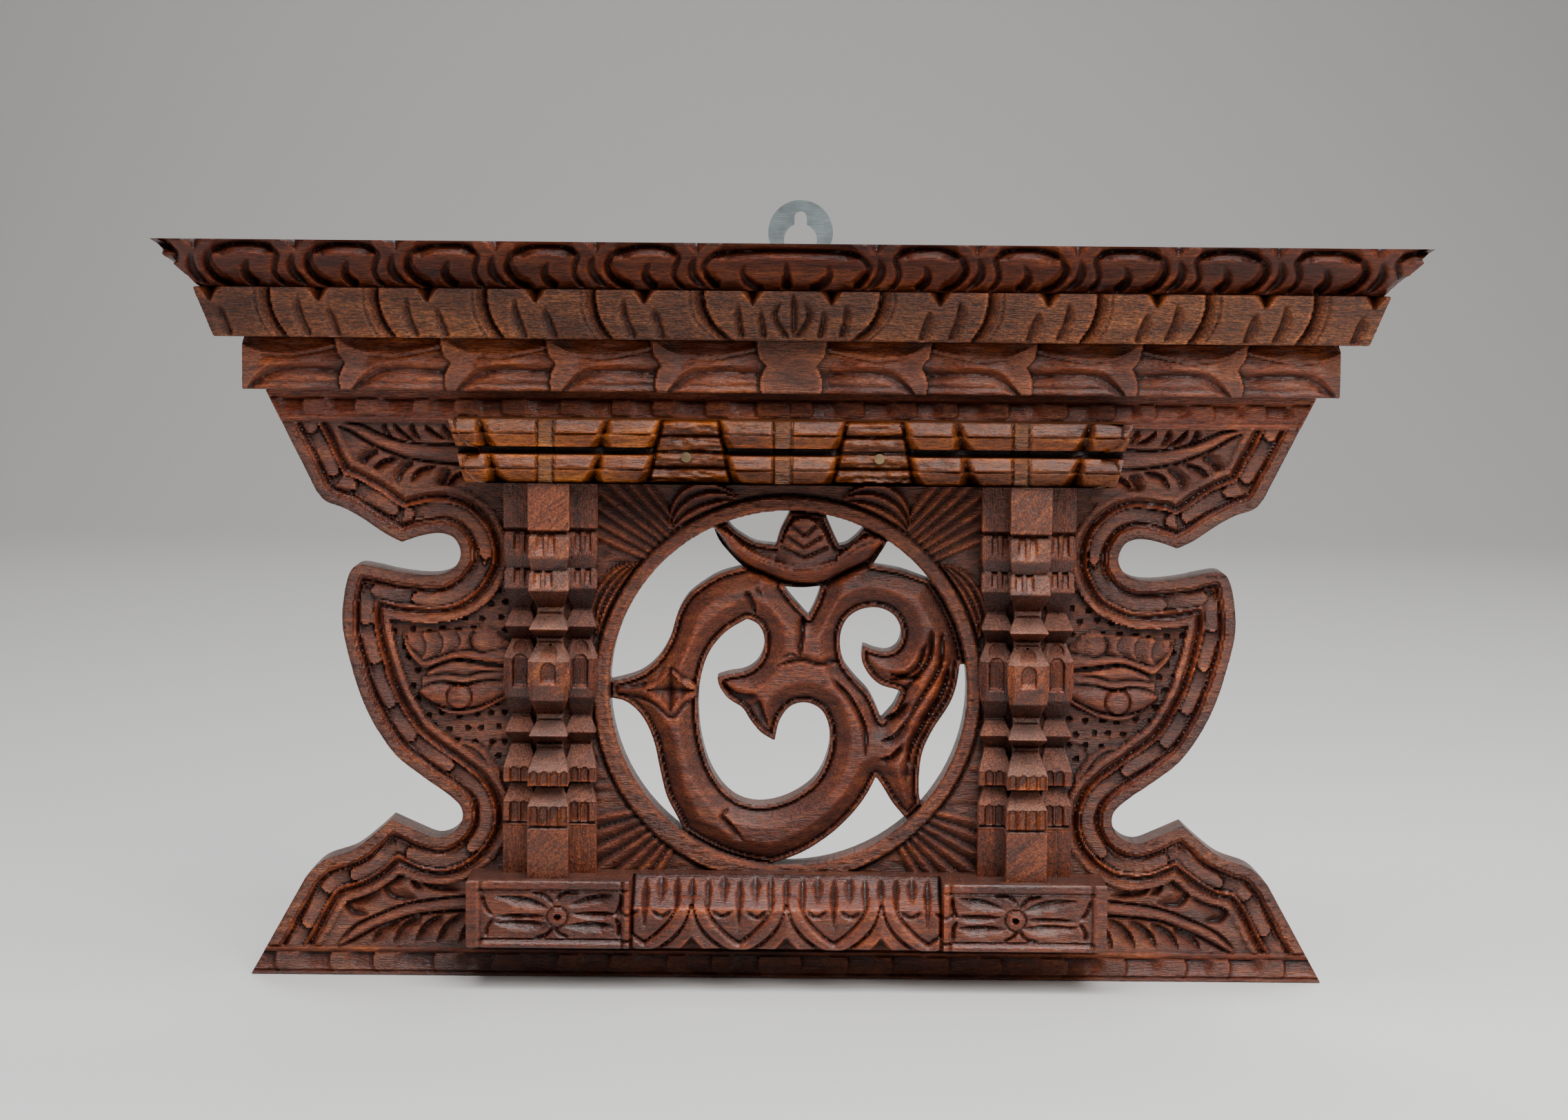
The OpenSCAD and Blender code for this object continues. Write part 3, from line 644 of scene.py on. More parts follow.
def carve_boards(xs, zs):
    """Heights and signed outline distance over one board's grid."""
    r = Relief(xs, zs)
    wobble_x = r.x + 0.35 * r.noise(11, 9, 3)
    wobble_z = r.z + 0.35 * r.noise(10, 12, 4)
    d_side, arc = to_chain(np.abs(r.x), r.z, SIDE)
    d_side = np.abs(d_side)
    d_band = d_side + 0.35 * value_noise(wobble_x / 6, wobble_z / 6, 6)
    radius = np.hypot(r.x, r.z - RING_Z)
    near = radius < RING_R + 8
    d_void = np.full(r.x.shape, FAR)
    for loop in VOIDS:
        closed = loop if np.allclose(loop[0], loop[-1]) else np.vstack([loop, loop[:1]])
        d = np.abs(to_chain(r.x[near], r.z[near], closed)[0])
        d_void[near] = np.minimum(d_void[near], d)
    phi = np.minimum(d_side, d_void) * np.where(on_boards(r.x, zs), 1, -1)
    m = np.abs(r.x)
    outer = (m > WINGS_IN) & (d_side > FILLET)
    carve_upper_wing(r, outer & (r.z > UPPER_WING))
    carve_lower_wing(r, outer & (r.z < LOWER_WING))
    carve_lobe(r, outer & (r.z > LOBE_LOW) & (r.z < LOBE_HIGH))
    between = ((r.z > LOWER_WING - 2) & (r.z < LOBE_LOW + 4)
               | (r.z > LOBE_HIGH - 2) & (r.z < UPPER_WING + 1))
    r.put(outer & between, -1.6)
    carve_side_band(r, d_band, arc, bead_starts(420, 19.5, 20))
    carve_window(r, radius, d_void)
    carve_fretwork_details(r)
    carve_edges(r, d_side)
    # flat, rough strips behind the columns
    pads = (m > PADS_IN) & (m < PADS_OUT) & (r.z > SILL_HIGH[2]) & (r.z < LINTEL_LOW[2])
    r.put(pads, 0.0, 1.0)
    fuzz = 0.10 * r.noise(2.2, 0.75, 13)
    fuzz += 0.07 * r.noise(0.9, 0.7, 14)
    rim = (d_side < RIM) & (r.z > BASE_LINE) & (r.z < TOP_LINE)
    r.h = np.clip(r.h + np.where(rim, 2.2, 1.0) * fuzz, DEEPEST, HIGHEST)
    return r, phi


# ---------------------------------------------------------------- mesh building


def finish_mesh(node, verts_mm, faces, wear_and_shading, raw_and_sheen, smooth_angle=40):
    """Make an object from millimetre points; it rides on the root body and replaces a node."""
    name = node + "_carved"
    mesh = bpy.data.meshes.new(name)
    mesh.from_pydata((np.asarray(verts_mm) * MM).tolist(), [], faces)
    mesh.validate()
    for key, values in (("wear_and_shading", wear_and_shading), ("raw_and_sheen", raw_and_sheen)):
        attr = mesh.attributes.new(key, "FLOAT", "POINT")
        attr.data.foreach_set("value", np.asarray(values, np.float32))
    piece = bpy.data.objects.new(name, mesh)
    bpy.context.scene.collection.objects.link(piece)
    mesh.shade_smooth()
    mesh.set_sharp_from_angle(angle=math.radians(smooth_angle))
    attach(piece, "root")
    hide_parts(node)
    return piece


def padded(values, count, fill):
    """The values in one row, filled up to count."""
    values = np.ravel(values)
    return np.concatenate([values, np.full(count - len(values), fill)])


def grid_faces(rows, cols):
    """Quads over a grid of points that are stored row by row."""
    base = (np.arange(rows - 1)[:, None] * cols + np.arange(cols - 1)).ravel()
    return np.stack([base, base + 1, base + cols + 1, base + cols], 1).tolist()


def add_caps(verts, faces, cols):
    """Close a stack of rows with flat faces on copies of its last and first row."""
    start = len(verts)
    faces.append(list(range(start, start + cols)))
    faces.append(list(range(start + cols, start + 2 * cols))[::-1])
    return np.vstack([verts, verts[-cols:], verts[:cols]])


def numbered(mask, start):
    """Running numbers from start where the mask is true, and -1 elsewhere."""
    out = np.full(mask.shape, -1)
    out[mask] = start + np.arange(mask.sum())
    return out


def fretted_mesh(xs, zs, phi, h):
    """Marching squares over a relief: front verts and faces where phi is positive."""
    tiny = 0.06 * GRID
    phi = np.where(np.abs(phi) < tiny, np.where(phi > 0, tiny, -tiny), phi)
    inside = phi > 0
    gx, gz = np.meshgrid(xs, zs)
    sheet = np.stack([gx, FRONT - h, gz], 2)
    index = numbered(inside, 0)
    verts, crossed_ids = sheet[inside], []
    # a new point where phi changes sign, first between neighbours in a row, then in a column
    whole, but_last, but_first = slice(None), slice(None, -1), slice(1, None)
    for near, far in (((whole, but_last), (whole, but_first)), ((but_last, whole), (but_first, whole))):
        crossed = inside[near] != inside[far]
        t = (phi[near] / (phi[near] - phi[far]))[crossed][:, None]
        a, b = sheet[near][crossed], sheet[far][crossed]
        crossed_ids.append(numbered(crossed, len(verts)))
        verts = np.vstack([verts, a + t * (b - a)])
    in_row, in_column = crossed_ids
    corners_in = inside[:-1, :-1] * 1 + inside[:-1, 1:] + inside[1:, :-1] + inside[1:, 1:]
    i, j = np.nonzero(corners_in == 4)
    faces = np.stack([index[i, j], index[i, j + 1], index[i + 1, j + 1], index[i + 1, j]], 1).tolist()
    for i, j in zip(*np.nonzero((corners_in > 0) & (corners_in < 4))):
        ring = [index[i, j], in_row[i, j], index[i, j + 1], in_column[i, j + 1],
                index[i + 1, j + 1], in_row[i + 1, j], index[i + 1, j], in_column[i, j]]
        ring = [int(k) for k in ring if k >= 0]
        if len(ring) > 2:
            faces.append(ring)
    return verts, faces


def close_to_back(verts, faces):
    """Wall the outline of a front sheet back to the boards' back face and close it there."""
    edges = set()
    for face in faces:
        for a, b in zip(face, face[1:] + face[:1]):
            if (b, a) in edges:
                edges.discard((b, a))
            else:
                edges.add((a, b))
    edges = sorted(edges)
    rim = sorted({v for edge in edges for v in edge})
    place = {v: k for k, v in enumerate(rim)}
    loops = [(place[a], place[b]) for a, b in edges]
    start = len(verts)
    walls = [[b, a, start + place[a], start + place[b]] for a, b in edges]
    flat = [Vector((x, z)) for x, _, z in verts[rim]]
    out, _, triangles, sources, _, _ = delaunay_2d_cdt(flat, loops, [], 1, 1e-5)
    pts = np.array([[p.x, p.y] for p in out])
    back_points = [(x, BACK, z) for x, _, z in verts[rim]]
    number = []
    for (x, z), source in zip(pts, sources):
        number.append(start + (source[0] if source else len(back_points)))
        if not source:
            back_points.append((x, BACK, z))
    centres = np.array([pts[list(t)].mean(0) for t in triangles])
    on_wood = on_boards(centres[:, :1], centres[:, 1])[:, 0]
    back_faces = []
    for t, good in zip(triangles, on_wood):
        if not good:
            continue
        a, b, c = (number[k] for k in t)
        p, q, s = (pts[k] for k in t)
        turn = (q[0] - p[0]) * (s[1] - p[1]) - (q[1] - p[1]) * (s[0] - p[0])
        back_faces.append([a, c, b] if turn > 0 else [a, b, c])
    return np.vstack([verts, back_points]), faces + walls + back_faces


BOARD_REACH = 217       # half the width of the boards' grid, a little past their sides


def build_board(node, z0, z1):
    """One of the two fretted, carved boards."""
    xs = np.linspace(-BOARD_REACH, BOARD_REACH, int(2 * BOARD_REACH / GRID))
    zs = np.linspace(z0, z1, int((z1 - z0) / GRID) + 1)
    r, phi = carve_boards(xs, zs)
    verts, faces = fretted_mesh(xs, zs, phi, r.h)
    # The band above TOP_LINE is lightened as painted light, against the shadow of the leaf moulding above
    # it.
    wear_and_shading = unit(wear_and_shading_of(r.h) + 0.34 * (r.z > TOP_LINE))
    # each point takes the looks of the nearest grid point
    j = np.clip(np.round((verts[:, 0] - xs[0]) / (xs[1] - xs[0])).astype(int), 0, len(xs) - 1)
    i = np.clip(np.round((verts[:, 2] - zs[0]) / (zs[1] - zs[0])).astype(int), 0, len(zs) - 1)
    verts, faces = close_to_back(verts, faces)
    return finish_mesh(node, verts, faces, padded(wear_and_shading[i, j], len(verts), 0.5),
                       padded(r.raw_and_sheen[i, j], len(verts), 0.5))


# ---------------------------------------------------------------- mouldings, lintel and sill

FINE = 0.55         # spacing of the points on mouldings, lintel and sill


def plank_levels(node):
    """Heights of a plank's ends, with half its width and its front face at each."""
    pts = np.array([v.co[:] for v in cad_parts[node].data.vertices]) * 1000
    rows = []
    for z in np.unique(np.round(pts[:, 2], 2)):
        level = pts[np.abs(pts[:, 2] - z) < 0.02]
        half = np.abs(level[:, 0]).max()
        if half > 0.8 * np.abs(pts[:, 0]).max():
            rows.append((z, half, level[:, 1].min()))
    return np.array(rows).T


def carved_block(node, levels, back, carve, centre=0.0):
    """A block whose front and ends carry one relief: carve(relief) fills its heights."""
    level_z, level_half, level_front = levels
    z0, z1 = level_z[0], level_z[-1]
    zs = np.linspace(z0, z1, int(round((z1 - z0) / FINE)) + 1)
    half = np.interp(zs, level_z, level_half)[:, None]
    front = np.interp(zs, level_z, level_front)[:, None]
    reach = half.max() + back - front.min() + 2
    r = Relief(np.arange(-reach, reach + FINE, FINE), zs)
    carve(r)
    edge = np.minimum(zs - z0, z1 - zs)[:, None]
    r.h -= 0.45 * unit(1 - edge / 0.7) ** 2
    r.h += 0.07 * r.noise(2.0, 0.8, 41) + 0.05 * r.noise(0.8, 0.6, 42)
    wear_and_shading = wear_and_shading_of(r.h)

    # the relief runs on past the corners: along the ends, its x counts on round the corner
    u = np.linspace(-1, 1, int(2 * half.max() / FINE))
    v = np.linspace(0, 1, int((back - front.min()) / FINE))[1:]
    n = len(v)
    deep = (back - front) * v
    along = np.hstack([-half - deep[:, ::-1], half * u, half + deep])
    column = np.clip((along - centre - r.xs[0]) / FINE, 0, len(r.xs) - 1.001)
    j = column.astype(int)
    f = column - j
    i = np.arange(len(zs))[:, None]
    h, w = (a[i, j] * (1 - f) + a[i, j + 1] * f for a in (r.h, wear_and_shading))
    x, y = along.copy(), front - h
    x[:, :n + 1] = -(half + h[:, :n + 1])
    x[:, -n - 1:] = half + h[:, -n - 1:]
    y[:, :n] = front + deep[:, ::-1]
    y[:, -n:] = front + deep
    rows, cols = x.shape
    z = np.repeat(zs[:, None], cols, axis=1)
    verts = np.stack([x, y, z], 2).reshape(-1, 3)
    first = np.arange(rows) * cols
    rear = np.vstack([verts[first], verts[first + cols - 1]])
    faces = grid_faces(rows, cols)
    verts = add_caps(verts, faces, cols)
    start = len(verts)
    faces += [[start + rows + k, start + k, start + k + 1, start + rows + k + 1]
              for k in range(rows - 1)]
    verts = np.vstack([verts, rear])
    return finish_mesh(node, verts, faces, padded(w, len(verts), 0.5),
                       padded(r.raw_and_sheen[i, j], len(verts), 0.8))


def curve_at(x, points):
    """Height of the smooth curve through the points, at x."""
    line = smooth(points)
    line = line[np.argsort(line[:, 0])]
    return np.interp(x, line[:, 0], line[:, 1])


def placed(points, x0, z0):
    """The points, moved along by x0 and up by z0."""
    return [(x + x0, z + z0) for x, z in points]


def pointed_notch(r, at, apex, half, depth, down=True):
    """Triangular notch in the top edge (or the bottom edge), with its tip at height apex."""
    for x in at:
        reach = (r.zs[-1] - apex) if down else (apex - r.zs[0])
        up = (r.z - apex) / reach if down else (apex - r.z) / reach
        r.h -= depth * unit(up - np.abs(r.x - x) / half)


CROWN_CENTRE, CROWN_LOBE, CROWN_PITCH = -2.2, 34.8, 38.9
# strokes of the crown, in millimetres from a notch: points, half width, depth, ends, shape
CREASE = (([(-0.6, 13.6), (-2.1, 9.1), (-1.0, 5.1), (3.6, 1.0)], 2.1, 3.2, (0.4, 0.3), bump),)
EGG = (([(13.6, 0.2), (7.4, 3.2), (3.9, 8.4), (5.9, 13.5), (12.5, 16.3), (19.1, 16.9), (27.0, 16.3),
         (31.6, 13.4), (30.4, 9.0), (30.0, 6.0), (31.4, 3.0), (34.2, 0.2)], 1.5, 2.6, (0.04, 0.04), vee),
       ([(14.6, 0.2), (8.4, 3.6), (4.9, 8.4), (6.6, 13.4)], 2.7, 2.4, (0.2, 0.3), bump),
       ([(6.6, 13.6), (12.7, 16.2), (19.1, 16.8), (26.6, 16.2), (30.8, 13.6)], 3.3, 3.0, (0.12, 0.12),
        bump),
       ([(20.8, 10.9), (18.8, 7.4), (19.2, 4.2), (23.2, 0.4)], 2.3, 3.4, (0.55, 0.1), bump))
# the wide lobe, from the middle: the same, and whether the stroke is mirrored
WIDE_HALF = [(25.4, 0.3), (29.8, 4.5), (32.2, 9.1), (28.6, 13.6), (22.6, 15.4), (8.3, 15.9)]
WIDE_LOBE = (([(-x, z) for x, z in WIDE_HALF] + WIDE_HALF[::-1], 1.5, 2.6, (0.03, 0.03), vee, False),
             ([(26.2, 1.2), (29.6, 5.0), (31.4, 8.8)], 2.7, 2.3, (0.2, 0.3), bump, True),
             ([(-29.0, 13.2), (-22.0, 15.4), (0, 16.2), (22.0, 15.4), (29.0, 13.2)], 3.3, 3.0,
              (0.1, 0.1), bump, False),
             ([(0, 11.4), (0, 6.0), (0, 0.2)], 2.4, 3.4, (0.7, 0.1), bump, False),
             ([(-16.0, 10.7), (-16.8, 6.4), (-13.5, 2.7), (-8.6, 0.3)], 2.2, 3.2, (0.5, 0.1), bump, True))


def carve_crown(r):
    """Row of egg shapes that lean towards a wide middle lobe, with V notches between."""
    z0 = r.zs[0]
    r.h += 2.4 * (1 - (2 * (r.z - z0) / (r.zs[-1] - z0) - 1) ** 2) - 0.2
    for m in np.arange(CROWN_LOBE, r.xs[-1] + CROWN_PITCH, CROWN_PITCH):
        pointed_notch(r, (-m, m), z0 + 13.7, 4.6, 5.0)
        for points, half, depth, ends, shape in CREASE + EGG * (m > CROWN_LOBE + 1):
            r.cut(placed(points, -m, z0), half, depth, ends=ends, shape=shape)
    for points, half, depth, ends, shape, mirror in WIDE_LOBE:
        r.cut(placed(points, 0, z0), half, depth, mirror, ends, shape)


PETAL_FIRST, PETAL_PITCH = 34.3, 42.4


def carve_petals(r):
    """Flat petals that overlap towards the ends, with black notches and slanting gouges."""
    z0 = r.zs[0]
    m, z = np.abs(r.x), r.z - z0
    lean = curve_at(z, [(0, 6.6), (6.8, 2.3), (13.0, 0.4), (19.6, 0.0)])
    for k, a in enumerate(np.arange(PETAL_FIRST, r.xs[-1] + PETAL_PITCH, PETAL_PITCH)):
        e = a - m - lean * (1.7 if k == 0 else 1.0)
        w = 6.9 - 0.07 * z
        hollow = (e < 0) & (e > -w)
        r.put(hollow, -4.2 * unit(1 + e / w) ** 1.4)
        r.h -= 0.9 * vee(e + w, 0.8) + 0.45 * unit(1 - e / 0.9) * (e >= 0)
        if k == 0:
            continue
        pointed_notch(r, (18.9 - a, a - 18.9), z0 + 13.6, 4.2, 11.0)
        for points, wide in (([(11.2, 16.3), (12.0, 8.9), (15.4, 0.4)], 4.2),
                             ([(22.7, 12.4), (24.8, 6.2), (26.8, 0.4)], 4.6)):
            r.scoop(placed(points, -a, z0), wide, 2.2, ends=(0.35, 0.08))
    pointed_notch(r, (-15.4, 15.4), z0 + 13.6, 4.2, 11.0)
    for points, wide in (([(-20.9, 14.6), (-20.3, 8.0), (-18.9, 1.0)], 3.6),
                         ([(-12.1, 12.2), (-11.4, 6.0), (-10.4, 0.8)], 3.2),
                         ([(-4.2, 15.2), (-6.2, 9.4), (-1.2, 1.0)], 3.0)):
        r.scoop(placed(points, 0, z0), wide, 2.1, ends=(0.35, 0.1))
    r.cut(placed([(0.6, 18.6), (0.6, 10.0), (0.6, 1.2)], 0, z0), 1.6, 1.9, mirror=False, ends=(0.2, 0.2))
    r.raw_and_sheen = 0.65 * unit(1.1 + 0.8 * r.h)


LEAF_KNOT, LEAF_PITCH = 14.2, 41.6


def carve_leaves(r):
    """Row of fishtail leaves that run out of a bow-tie knot in the middle."""
    z0, top = r.zs[0], r.zs[-1] - r.zs[0]
    m, z = np.abs(r.x), r.z - z0
    tail = curve_at(z, [(0, 2.3), (3.0, 1.7), (6.3, 2.0), (8.8, 3.0), (10.8, 4.1)])
    tail = np.where(z > 10.8, curve_at(z, [(10.8, 4.1), (13.0, 2.3), (14.8, 1.1), (20.6, 0.0)]), tail)
    for b in np.arange(LEAF_KNOT, r.xs[-1] + 2 * LEAF_PITCH, LEAF_PITCH)[1:]:
        e = b - m
        leaf = (e >= tail) & (e < LEAF_PITCH + tail)
        upper = curve_at(e, [(2.4, 19.8), (9.5, 16.1), (17.4, 14.5), (24.7, 14.3), (33.9, 16.0),
                             (46, 18.8)])
        ridge = curve_at(e, [(7.0, 0.4), (10.1, 4.9), (14.1, 8.9), (18.4, 10.6), (30, 10.9),
                             (46, 11.2)])
        lens = curve_at(e, [(7.0, 0.1), (10.9, 3.0), (16.8, 6.4), (23.4, 7.9), (33.9, 7.9),
                            (46, 6.6)])
        grown = step(e, 5.0, 18.0)
        scale = unit((top - upper) / 4.0)
        hollow = -(1.2 + 2.8 * unit((z - upper) / np.maximum(top - upper, 0.1)) ** 0.7) * scale
        band = -0.2 - 1.4 * grown * (z - ridge) / np.maximum(upper - ridge, 0.1)
        wedge = -0.2 - 3.0 * (ridge - z) / np.maximum(ridge - lens, 0.1)
        rib = -2.9 + 1.9 * unit((lens - z) / 2.8) - 0.5 * vee(z - 2.6, 1.2)
        h = np.where(z > upper, hollow, band)
        h = np.where((e > 7.0) & (z < ridge), wedge, h)
        h = np.where((e > 7.0) & (z < lens), rib, h)
        h -= 0.6 * vee(z - upper + 1.3, 0.6) * grown + 1.8 * step(e, 24.0, 44.0)
        h -= 0.35 * unit(1 - (e - tail) / 0.7)
        h += 0.25 * value_noise(e / 9, z / 1.6, 44) * grown
        r.put(leaf, h, unit(1 - grown * 1.5) * 0.7)
    r.put(m < LEAF_KNOT, raw_and_sheen=0.9)


# lintel: each group's left and right end, at its top and its bottom edge, its plain block,
# and the cuts between cushions
LINTEL_GROUPS = (
    ((-136.5, -131.6), (-50.7, -56.1), (-99.8, -93.2), ((-122.6, -115.3), (-72.3, -77.8))),
    ((-28.4, -23.2), (22.0, 16.8), (-6.8, 0.4), ()),
    ((44.1, 48.6), (136.5, 131.6), (87.2, 93.8), ((65.2, 70.8), (118.0, 111.0))),
)
STRIP_EDGES = (0.0, 5.7, 11.3, 13.9, 19.5, 25.0)
GAP = -9.5              # depth of the slot between the rows of cushions
END_WRAP = 60           # how far the outer groups run on round the lintel's ends
LINTEL_FOOT_HALF = 128.5


def carve_cushions(r, ends, block, seed):
    """Two rows of paired bevelled cushions between slanted ends, with a plain block among them."""
    z, x = r.z - r.zs[0], r.x
    a, b, c, d, e, f = STRIP_EDGES
    gen = np.random.default_rng(seed)
    h = np.full(x.shape, GAP)
    for low, joint, high in ((a, b, c), (d, e, f)):
        under = -0.6 - 1.9 * (joint - z) / (joint - low) - 0.5 * vee(z - low, 0.8)
        over = -0.3 - 2.5 * (z - joint) / (high - joint)
        for strip, bottom, top in ((under, low, joint), (over, joint, high)):
            rise = (z - bottom) / (top - bottom)
            for left, right in zip(ends[:-1], ends[1:]):
                middle, half = (left + right) / 2, (right - left) / 2
                tilt, bow = gen.uniform(-0.7, 0.7), gen.uniform(0.2, 0.8)
                t = (x - middle) / half
                one = strip - tilt * t - bow * t * t
                chamfer = 4.4 if strip is under else 3.0
                away = half - np.abs(x - middle) - chamfer * (0.5 + 0.6 * (1 - rise))
                one = one - 1.1 * np.clip(-away, 0, 5)
                one -= 1.7 * vee(away + chamfer, 0.8)
                h = np.where((z >= bottom) & (z < top) & (np.abs(t) <= 1), one, h)
        h = np.where((z >= low) & (z < high), h - 1.1 * vee(z - joint, 0.7), h)
    k0, k1 = block
    plain = (x > k0) & (x < k1) & (h > GAP + 0.5)
    h = np.where(plain, -1.5 - 0.2 * np.abs(z - b) * (z < c) - 0.2 * np.abs(z - e) * (z > d), h)
    return h - 1.3 * vee(x - k0, 0.7) - 1.3 * vee(x - k1, 0.7)


def carve_lintel(r):
    """Three groups of cushions with rough blocks between, all narrower at the bottom."""
    z, x = r.z - r.zs[0], r.x
    share = z / (r.zs[-1] - r.zs[0])
    rough = 0.6 * value_noise(x / 7, z / 1.3, 51) + 0.35 * value_noise(x / 2.5, z / 0.9, 52)
    quarter = (share * 4) % 1.0
    r.h = -5.6 - 1.5 * (2 * quarter - 1) ** 2 - 1.4 * vee(np.minimum(quarter, 1 - quarter), 0.14) + rough
    for k, (left, right, block, splits) in enumerate(LINTEL_GROUPS):
        ends = [low + (up - low) * share for up, low in (left, *splits, right)]
        first = ends[0] - END_WRAP * (k == 0)
        last = ends[-1] + END_WRAP * (k == len(LINTEL_GROUPS) - 1)
        h = carve_cushions(r, ends, block, 90 + k) + 0.2 * value_noise(x / 5, z / 1.6, 53)
        slot = (z > STRIP_EDGES[2]) & (z < STRIP_EDGES[3])
        beyond = np.where(slot, GAP, np.where(h > GAP + 0.5, h, -1.8))
        h = np.where((x < ends[0]) | (x > ends[-1]), beyond, h)
        r.put((x > first) & (x < last), h)
        r.put((x > block[0]) & (x < block[1]), raw_and_sheen=1.0)
        r.h -= 2.2 * vee(x - first, 1.1) + 2.2 * vee(x - last, 1.1)


SILL_PANEL_IN = 61.5
SILL_FOLD, SILL_LEAF = 37.6, 6.25
FLOWER_X, FLOWER_Z = 90.7, 12.4


def carve_sill(r):
    """Two bordered blocks with a long-leaved flower and a middle of hanging shields."""
    z0 = r.zs[0]
    x, z, m = r.x, r.z - z0, np.abs(r.x)
    full = r.zs[-1] - z0
    side = m >= SILL_PANEL_IN
    # borders and the sunk field of the side blocks
    field = side & (m > 65.2) & (m < 121.0) & (z > 3.0) & (z < 22.4)
    r.put(side, -0.2)
    r.put(field, -1.7 + 0.25 * value_noise(x / 6, z / 3, 61))
    r.h -= 1.2 * vee(m - 65.0, 0.8) * side + 1.2 * vee(m - 121.2, 0.8) * (z < full)
    r.h -= 1.5 * vee(z - 2.8, 0.9) * (side & (m < 122)) + 1.7 * vee(z - 22.8, 1.0) * (side & (m < 122))
    for points, wide in (
            ([(-24.9, 8.0), (-12.0, 6.8), (-2.8, 3.4)], 4.0),
            ([(-25.0, 0.0), (-14.0, 0.6), (-4.4, 0.4)], 3.2),
            ([(-25.4, -2.6), (-12.0, -2.6), (-3.0, -3.0)], 3.8),
            ([(4.2, 4.6), (13.0, 7.6), (23.2, 8.8)], 3.8),
            ([(5.6, 1.4), (14.0, 1.6), (23.6, 1.4)], 3.2),
            ([(3.0, -3.4), (12.0, -2.8), (23.0, -3.2)], 3.8)):
        r.scoop(placed(points, -FLOWER_X, z0 + FLOWER_Z), wide, 2.5, ends=(0.4, 0.3))
    for points in (
            [(-30.2, 8.7), (-28.1, 2.9), (-25.3, 0.0)], [(-25.3, -0.7), (-27.8, -4.4), (-27.8, -8.7)],
            [(25.3, 9.6), (25.0, 5.1), (22.9, 0.0)], [(22.9, -0.4), (24.4, -3.6), (24.6, -8.7)],
            [(-10.4, 9.8), (-4.9, 8.3), (-1.4, 4.6)], [(-0.7, 6.4), (2.8, 9.4), (9.6, 9.9)],
            [(-9.1, -8.7), (-4.2, -7.3), (-1.4, -3.6)], [(-1.1, -3.6), (0.7, -6.5), (4.9, -8.3)]):
        r.cut(placed(points, -FLOWER_X, z0 + FLOWER_Z), 0.95, 1.8, ends=(0.15, 0.2))
    r.spot((-FLOWER_X, z0 + FLOWER_Z), 4.4, lambda q, h: np.where(
        q < 0.24, -5.0, np.where(q < 0.86, -0.5 - 0.7 * q * q, -2.2)))

    # the middle: gables under the folds, shields between them
    fold = np.abs(((x + SILL_FOLD / 2) % SILL_FOLD) - SILL_FOLD / 2)     # distance to a fold
    outer_z = curve_at(fold, [(0.0, 17.2), (0.7, 16.2), (2.9, 9.8), (7.3, 4.4), (12.9, 0.4), (19, -3)])
    inner_z = curve_at(fold, [(4.0, 20.0), (6.0, 16.5), (7.5, 13.0), (10.0, 9.8), (14.4, 5.4),
                              (18.8, 2.3)])
    gable = -0.7 - 0.20 * fold
    strap = -0.4 - 0.8 * ((z - (outer_z + inner_z) / 2) / np.maximum((inner_z - outer_z) / 2, 0.4)) ** 2
    shield = -1.9 - 0.25 * vee(fold - 18.8, 8)
    mid = np.where(z < outer_z, gable, np.where((z < inner_z) & (fold < 18.8), strap, shield))
    mid -= 2.0 * vee(z - outer_z, 1.2) * (z < 17) + 1.6 * vee(z - inner_z, 1.0) * (z < 17)
    mid = mid - 17.0 * unit((z - 15.8) / 11.0)
    r.h = np.where(side, r.h, mid)
    for x_fold in (-SILL_FOLD, 0.0, SILL_FOLD):
        pointed_notch(r, (x_fold,), z0 + 5.4, 4.6, 12.0, down=False)
    for k in range(-9, 10):
        at = k * SILL_LEAF
        kind = abs(k) % 6
        foot, half = {0: (13.2, 2.0), 1: (13.6, 1.9), 5: (13.6, 1.9), 3: (7.4, 2.1)}.get(
            kind, (17.4, 2.9))
        r.cut([(at, z0 + 26.2), (at, z0 + 21.0), (at, z0 + foot)], half, 3.0, mirror=False,
              ends=(0.35, 0.75 if kind in (2, 4) else 0.85))
        if kind == 3:
            for way in (-1, 1):
                r.cut([(at + way * 2.4, z0 + 15.6), (at + way * 6.8, z0 + 12.9),
                       (at + way * 11.0, z0 + 15.6)], 1.1, 1.7, mirror=False, ends=(0.2, 0.2))
    r.h -= 2.2 * vee(m - SILL_PANEL_IN, 0.9)


# ---------------------------------------------------------------- column strands


def strand_levels(node):
    """Heights of a strand's profile, half its width and its front face, above its straight spine."""
    pts = np.array([v.co[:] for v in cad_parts[node].data.vertices]) * 1000
    xc = (pts[:, 0].min() + pts[:, 0].max()) / 2
    rows = []
    for z in np.unique(np.round(pts[:, 2], 2)):
        level = pts[np.abs(pts[:, 2] - z) < 0.02]
        rows.append((z, np.abs(level[:, 0] - xc).max(), level[:, 1].min()))
    return xc, np.array(rows).T


def arched(u, v, half, top):
    """1 inside a round-topped opening that is open below, u across and v up."""
    return unit((1 - (u / half) ** 2 - np.clip(v - top + half, 0, 9) ** 2 / half ** 2) * 3)


# a strand's carving, heights as shares of the column: flutes under the pyramids, scoops on the
# blocks, and niches in the barrel as opening top, ledge top and ledge foot
FLUTES = ((0.134, 0.184), (0.234, 0.272))
SCOOPS = ((0.736, 0.774), (0.820, 0.868))
NICHES = {"front": ((0.586, 0.567, 0.551), (0.548, 0.505, 0.491)),
          "flank": ((0.592, 0.572, 0.564), (0.561, 0.485, 0.474))}


